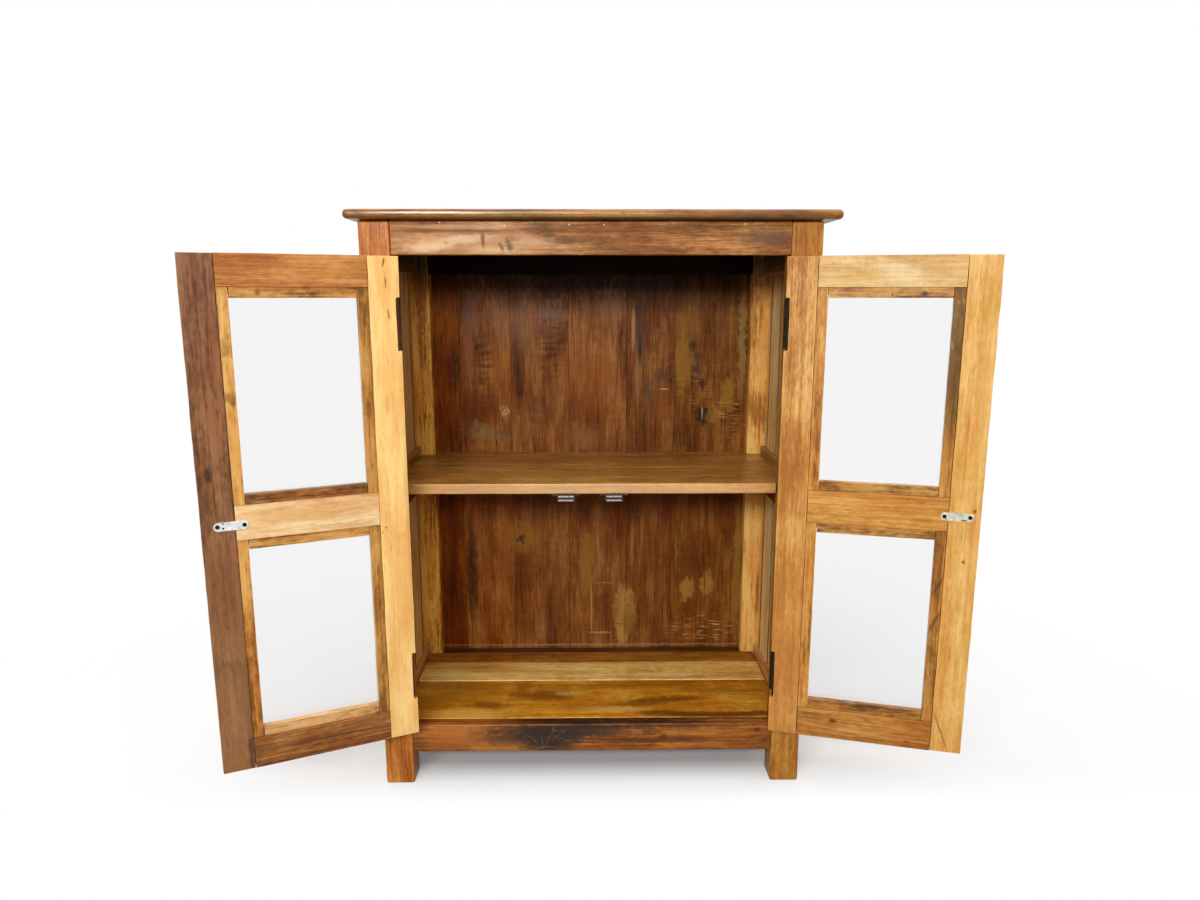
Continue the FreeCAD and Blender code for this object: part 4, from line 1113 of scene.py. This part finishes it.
def make_finishes():
    """A finish for each slot that isn't a board's, and others for the left hinges, the catches' poles
    and the right strike plate."""
    return {
        # Float glass: clear, with sharp reflections
        "window_glass": float_glass(),
        # Forged iron, oiled black: dark, with a dull sheen on the barrels
        "hinge_iron": mottled_skin("forged iron oiled black", ("0c0805", "3a2a16"), 0.58, 0.0, 3, shine=0.1),
        # The same iron gone to red rust
        "rusted": mottled_skin("forged iron gone to rust", ("241008", "5c3018"), 0.62, 0.0, 2.5, shine=0.2),
        # Zinc plate over pressed steel: pale grey, in faint spangles
        "zinc_steel": mottled_skin("pressed steel zinc plated", ("c4c4c0", "d6d6d2"), 0.42, 1.0, 7, 0.02),
        # Bare soft iron, ground: mid grey
        "poles": mottled_skin("ground soft iron", ("848078", "aca8a0"), 0.4, 1.0, 4, 0.03),
        # The same plate gone dull and warm
        "dulled": mottled_skin("pressed steel zinc gone dull", ("a4a08c", "c2beac"), 0.48, 1.0, 7, 0.02),
        # Steel blackened by heat: nearly black heads
        "screw_steel": mottled_skin("turned steel heat blackened", ("080605", "201812"), 0.4, 0.8, 1.5),
        # Moulded plastic, brown, with a fine spark texture
        "catch_plastic": mottled_skin("moulded brown plastic", ("1c120c", "2c1c12"), 0.45, 0.0, 1.0),
        # Pressed and sintered ferrite: dull dark grey
        "ferrite": mottled_skin("sintered ferrite", ("141414", "242424"), 0.6, 0.2, 0.8),
    }


def finish_for(node, finishes):
    """The finish of a node that isn't a board, or None."""
    if SLOT_OF[node] == "hinge_iron" and node.startswith("left"):
        return finishes["rusted"]
    if node == "catch_poles":
        return finishes["poles"]
    return finishes.get(SLOT_OF[node])


def dress_hardware(finishes):
    """Finishes for the nodes whose solids show as they are."""
    for node, thing in frame["nodes"].items():
        finish = finish_for(node, finishes)
        if finish and not thing.hide_render:
            thing.data.materials.clear()
            thing.data.materials.append(finish)


PLATE_EDGE = 0.35 * MM
PLATE_STEPS = 10
PLATE_PANEL_DEPTH = 0.3 * MM
PLATE_SCREW_INSET = 6 * MM
PLATE_SCREW_BORE = 3.4 * MM
PLATE_PIN_HOLE = 1.6 * MM
PLATE_PIN_SLOT = 0.96 * MM
PLATE_HOLE_DEPTH = 4 * MM

# Shares of the plate's length, and then of its height
PLATE_PANEL_SHARES = (0.27, 0.66)
PLATE_END_SHARE = 0.499
PLATE_PANEL_HEIGHT_SHARE = 0.6
PIN_HOLE_DROP_SHARE = 0.2
PIN_SLOT_SHARES = (0.27, 0.06)
FOOT_SLOT_RUN_SHARES = (0.84, 1.34)
FOOT_SLOT_RISE_SHARES = (0.08, 0.2)


def make_strike_plate(side, finishes):
    """A keeper pressed from strip: round ends, a sunk panel, screw holes, and a slot that its press left."""
    node = f"{side}_door_strike_plate"
    low, high = span(node)
    tall = high.z - low.z
    piece = block(f"{node}_pressing", low, high)
    with at_bench(piece):
        take_edges(piece, runs_along(1))
        bpy.ops.mesh.bevel(offset=tall * PLATE_END_SHARE, segments=PLATE_STEPS, profile=ROUND_PROFILE)

    meeting_end, inward = (low.x, 1) if side == "right" else (high.x, -1)
    middle = (low + high) / 2
    start, end = (meeting_end + inward * share * (high.x - low.x) for share in PLATE_PANEL_SHARES)
    half_panel = tall * PLATE_PANEL_HEIGHT_SHARE / 2
    panel_low = Vector((min(start, end), high.y - PLATE_PANEL_DEPTH, middle.z - half_panel))
    panel_high = Vector((max(start, end), high.y + OVERRUN, middle.z + half_panel))
    combine(piece, panel_low, panel_high, "DIFFERENCE")
    for x in (low.x + PLATE_SCREW_INSET, high.x - PLATE_SCREW_INSET):
        drill(piece, (x, middle.y, middle.z), PLATE_SCREW_BORE, PLATE_HOLE_DEPTH)
    if side == "left":
        hole_x = meeting_end + inward * tall
        hole_z = middle.z - tall * PIN_HOLE_DROP_SHARE
        drill(piece, (hole_x, middle.y, hole_z), PLATE_PIN_HOLE, PLATE_HOLE_DEPTH)
        slot_x = (hole_x - PLATE_PIN_SLOT, hole_x + PLATE_PIN_SLOT)
        slot_z = [high.z - tall * share for share in PIN_SLOT_SHARES]
    else:
        slot_x = [meeting_end + tall * share for share in FOOT_SLOT_RUN_SHARES]
        slot_z = [low.z + tall * share for share in FOOT_SLOT_RISE_SHARES]
    slot_low = Vector((slot_x[0], low.y - OVERRUN, slot_z[0]))
    slot_high = Vector((slot_x[1], high.y + OVERRUN, slot_z[1]))
    combine(piece, slot_low, slot_high, "DIFFERENCE")
    ease_edges(piece, PLATE_EDGE)
    settle(piece, node, finishes["dulled" if side == "right" else "zinc_steel"])


SLOT_WIDTH = 0.9 * MM
SLOT_DEPTH = 0.8 * MM


def make_screws(node, finishes):
    """Slotted screws: the node's own solids, with a slot sawn across each head."""
    turn = shutting(BODY_OF[node])
    piece = bpy.data.objects.new(f"{node}_slotted", frame["nodes"][node].data.copy())
    bpy.context.scene.collection.objects.link(piece)
    piece.data.transform(turn)
    with at_bench(piece):
        bpy.ops.mesh.select_all(action="SELECT")
        bpy.ops.mesh.remove_doubles(threshold=WELD)
    points = [vert.co.copy() for vert in piece.data.vertices]
    for index, (low, high) in enumerate(solid_spans(node)):
        size = high - low
        axis = max(range(3), key=lambda number: size[number])
        side = (axis + 1 + index % 2) % 3
        other = 3 - axis - side
        middle = (low + high) / 2
        rim = [point for point in points if inside(point, low, high)]
        widest = max(rim, key=lambda point: abs(point[side] - middle[side]))
        at_top = widest[axis] > middle[axis]
        face = high[axis] if at_top else low[axis]
        below, above = (SLOT_DEPTH, OVERRUN) if at_top else (OVERRUN, SLOT_DEPTH)
        cut = between(middle, middle, axis, face - below, face + above)
        cut = between(*cut, side, middle[side] - size[side], middle[side] + size[side])
        cut = between(*cut, other, middle[other] - SLOT_WIDTH / 2, middle[other] + SLOT_WIDTH / 2)
        combine(piece, *cut, "DIFFERENCE")
    settle(piece, node, finishes["screw_steel"])


def inside(point, low, high):
    """Whether a point lies in a box, or within a hair of it."""
    return all(low[axis] - MM / 10 <= point[axis] <= high[axis] + MM / 10 for axis in range(3))


# The knob's outline from the stile out to the tip, as shares of its reach and of its radius
KNOB_OUTLINE_SHARES = (
    (0.0, 0.68), (0.04, 0.68), (0.1, 0.6), (0.16, 0.64), (0.24, 0.82), (0.36, 0.95), (0.5, 1.0),
    (0.66, 0.95), (0.78, 0.83), (0.88, 0.64), (0.95, 0.42), (0.99, 0.16), (1.0, 0.02),
)
KNOB_SIDES = 40
KNOB_HEART = (200, 14, 9)


def turn_knob(side):
    """A knob turned from a square of teak."""
    node = f"{side}_door_knob"
    low, high = span(node)
    seat = span(f"{side}_door_meeting_stile")[0].y
    radius = (high.x - low.x) / 2
    middle = (low + high) / 2
    bpy.ops.object.select_all(action="DESELECT")
    bpy.ops.mesh.primitive_circle_add(
        vertices=KNOB_SIDES, radius=radius * KNOB_OUTLINE_SHARES[0][1], fill_type="NGON",
        location=(middle.x, seat, middle.z), rotation=(math.radians(90), 0, 0),
    )
    piece = bpy.context.object
    piece.name = f"{node}_turning"
    bpy.ops.object.transform_apply()
    with at_bench(piece, "FACE"):
        bpy.ops.mesh.select_all(action="SELECT")
        for (reach, wide), (next_reach, next_wide) in itertools.pairwise(KNOB_OUTLINE_SHARES):
            step = (low.y - seat) * (next_reach - reach)
            bpy.ops.mesh.extrude_region_move(TRANSFORM_OT_translate={"value": (0, step, 0)})
            place = (middle.x, seat + (low.y - seat) * next_reach, middle.z)
            narrow = next_wide / wide
            bpy.ops.transform.resize(value=(narrow, 1, narrow), center_override=place)
        bpy.ops.mesh.select_all(action="SELECT")
        bpy.ops.mesh.normals_make_consistent(inside=False)
    round_off = piece.modifiers.new("round off", "SUBSURF")
    round_off.levels = round_off.render_levels = 1
    bpy.ops.object.modifier_apply(modifier=round_off.name)
    note_wear(piece)
    grain = Grain(BODY_OF[node], low, high, KNOB_HEART)
    settle(piece, node, varnished_teak(f"turned and varnished teak {side} knob", grain, **LOOKS["knob"]))


def build_metalwork():
    """Strike plates, screws and knobs, and the finishes of what shows as it is."""
    finishes = make_finishes()
    for side in ("left", "right"):
        make_strike_plate(side, finishes)
        make_screws(f"{side}_door_screws", finishes)
        turn_knob(side)
    make_screws("frame_screws", finishes)
    dress_hardware(finishes)


# Studio

PHOTO_WIDTH = 1200
FOCAL_PIXELS = 876.11
AXIS_DROP_PIXELS = 23.38
SENSOR = 36.0
CAMERA_PLACE = (-0.0064, -1.6627, 0.8825)
CAMERA_PITCH = 11.56
CAMERA_YAW = -0.78
AMBIENT = 0.08
KEY_PLACE = (-0.5, -2.95, 1.55)
KEY_AIM = (0.0, 0.0, 0.55)
KEY_SIZE = (2.0, 0.45)
KEY_POWER = 76.0
SKY_STRENGTH = 2.7
SKY_ANGLE = 100
RIM_PLACES = ((-1.9, 2.3, 1.9), (1.9, 2.3, 1.9))
RIM_AIM = (0.0, 0.0, 0.5)
RIM_SIZE = (1.4, 1.4)
RIM_POWER = 10.0
FLOOR_SIZE = 60.0
FLOOR_BOUNCE = 0.2
FLOOR_SHADE = 0.8
FLOOR_FADE_START = 0.5
FLOOR_FADE_END = 1.5
FRONT_FADE_START = -0.115
FRONT_FADE_END = -0.26


def seen_directly(tree):
    """1 for rays from the camera, a mirror or a pane, and 0 for rays that only carry light."""
    seen = 0
    for kind in ("Is Camera Ray", "Is Glossy Ray", "Is Transmission Ray"):
        ray = add(tree, "LightPath", {}, out=kind)
        seen = add(tree, "Math", {0: seen, 1: ray}, operation="MAXIMUM")
    return seen


def add_softbox(name, place, aim, size, power):
    """A wide lamp that looks at a place."""
    box = bpy.data.lights.new(name, "AREA")
    box.shape = "RECTANGLE"
    box.size, box.size_y = size
    box.energy = power
    lamp = bpy.data.objects.new(name, box)
    lamp.location = place
    lamp.rotation_euler = (Vector(aim) - Vector(place)).to_track_quat("-Z", "Y").to_euler()
    bpy.context.scene.collection.objects.link(lamp)


def place_camera():
    """A camera where the photograph was taken."""
    camera = bpy.data.objects.new("camera", bpy.data.cameras.new("camera"))
    camera.location = CAMERA_PLACE
    camera.rotation_euler = (math.radians(90 - CAMERA_PITCH), 0, math.radians(CAMERA_YAW))
    camera.data.sensor_width = SENSOR
    camera.data.lens = FOCAL_PIXELS / PHOTO_WIDTH * SENSOR
    camera.data.shift_y = AXIS_DROP_PIXELS / PHOTO_WIDTH
    bpy.context.scene.collection.objects.link(camera)
    bpy.context.scene.camera = camera


def hang_lamps():
    """A wide softbox in front, two behind, and a broad diffuser overhead."""
    add_softbox("front softbox", KEY_PLACE, KEY_AIM, KEY_SIZE, KEY_POWER)
    for index, place in enumerate(RIM_PLACES):
        add_softbox(f"rear softbox {index + 1}", place, RIM_AIM, RIM_SIZE, RIM_POWER)
    sky = bpy.data.lights.new("overhead diffuser", "SUN")
    sky.energy = SKY_STRENGTH
    sky.angle = math.radians(SKY_ANGLE)
    bpy.context.scene.collection.objects.link(bpy.data.objects.new("overhead diffuser", sky))


def paint_backdrop():
    """A world that shows white and lights the object only a little."""
    world = bpy.data.worlds.new("white studio")
    world.use_nodes = True
    tree = world.node_tree
    tree.nodes.clear()
    strength = add(tree, "MapRange", {"Value": seen_directly(tree), "To Min": AMBIENT, "To Max": 1.0})
    glow = add(tree, "Background", {"Color": linear("ffffff"), "Strength": strength})
    add(tree, "OutputWorld", {"Surface": glow})
    bpy.context.scene.world = world


def lay_floor():
    """A white floor that keeps the object's shadow under and beside it, is washed white in front of the cabinet,
    which paints light over the shadow there, and fades into the backdrop further out.
    """
    bpy.ops.object.select_all(action="DESELECT")
    bpy.ops.mesh.primitive_plane_add(size=FLOOR_SIZE)
    floor = bpy.context.object
    floor.name = "studio_floor"
    material, tree = blank_material("white studio floor")
    seen = seen_directly(tree)
    paint = add(tree, "MapRange", {"Value": seen, "To Min": FLOOR_BOUNCE, "To Max": FLOOR_SHADE})
    lit = add(tree, "BsdfDiffuse", {"Color": paint})
    white = add(tree, "Emission", {"Strength": 1.0})
    place = add(tree, "TexCoord", {}, out=3)
    away = add(tree, "VectorMath", {0: place}, out=1, operation="LENGTH")
    limits = {"Value": away, "From Min": FLOOR_FADE_START, "From Max": FLOOR_FADE_END}
    fade = add(tree, "MapRange", limits, interpolation_type="SMOOTHSTEP")
    # Painted light: the floor in front of the cabinet is washed to white, over the cabinet's shadow.
    depth = add(tree, "SeparateXYZ", {0: place}, out=1)
    front = add(tree, "MapRange", {"Value": depth, "From Min": FRONT_FADE_START, "From Max": FRONT_FADE_END})
    fade = add(tree, "Math", {0: fade, 1: front}, operation="MAXIMUM")
    fade = add(tree, "Math", {0: fade, 1: seen}, operation="MULTIPLY")
    surface = add(tree, "MixShader", {0: fade, 1: lit, 2: white})
    add(tree, "OutputMaterial", {"Surface": surface})
    floor.data.materials.append(material)


def build_studio():
    """The photograph's white studio."""
    bpy.context.scene.view_settings.view_transform = "Standard"
    place_camera()
    hang_lamps()
    paint_backdrop()
    lay_floor()


corner_posts = build_posts_and_rails()
for flank in ("left", "right"):
    for panel in ("upper", "lower"):
        build_boarding(
            f"{flank}_side_{panel}_boards", SIDE_LOOKS, 1, SIDE_BOARD_GAP, SIDE_EDGE_REACH,
            OUTER_SIDE_TONE + SIDE_TOP_SHADE, shaded_gaps=True,
        )
wall_marks = [on_face(mark, WALL_DEPTH) for mark in WALL_MARKS]
wall_marks += [on_face(mark, BACK_DEPTH) for mark in BACK_MARKS]
wall_scuffs = [on_face(mark, WALL_DEPTH) for mark in WALL_SCUFFS]
build_boarding("back_boards", BACK_LOOKS, 0, BACK_BOARD_GAP, BACK_EDGE_REACH, wall_marks, wall_scuffs)
build_flat_boards(corner_posts)
for flank in ("left", "right"):
    build_door(flank)
build_metalwork()
build_studio()
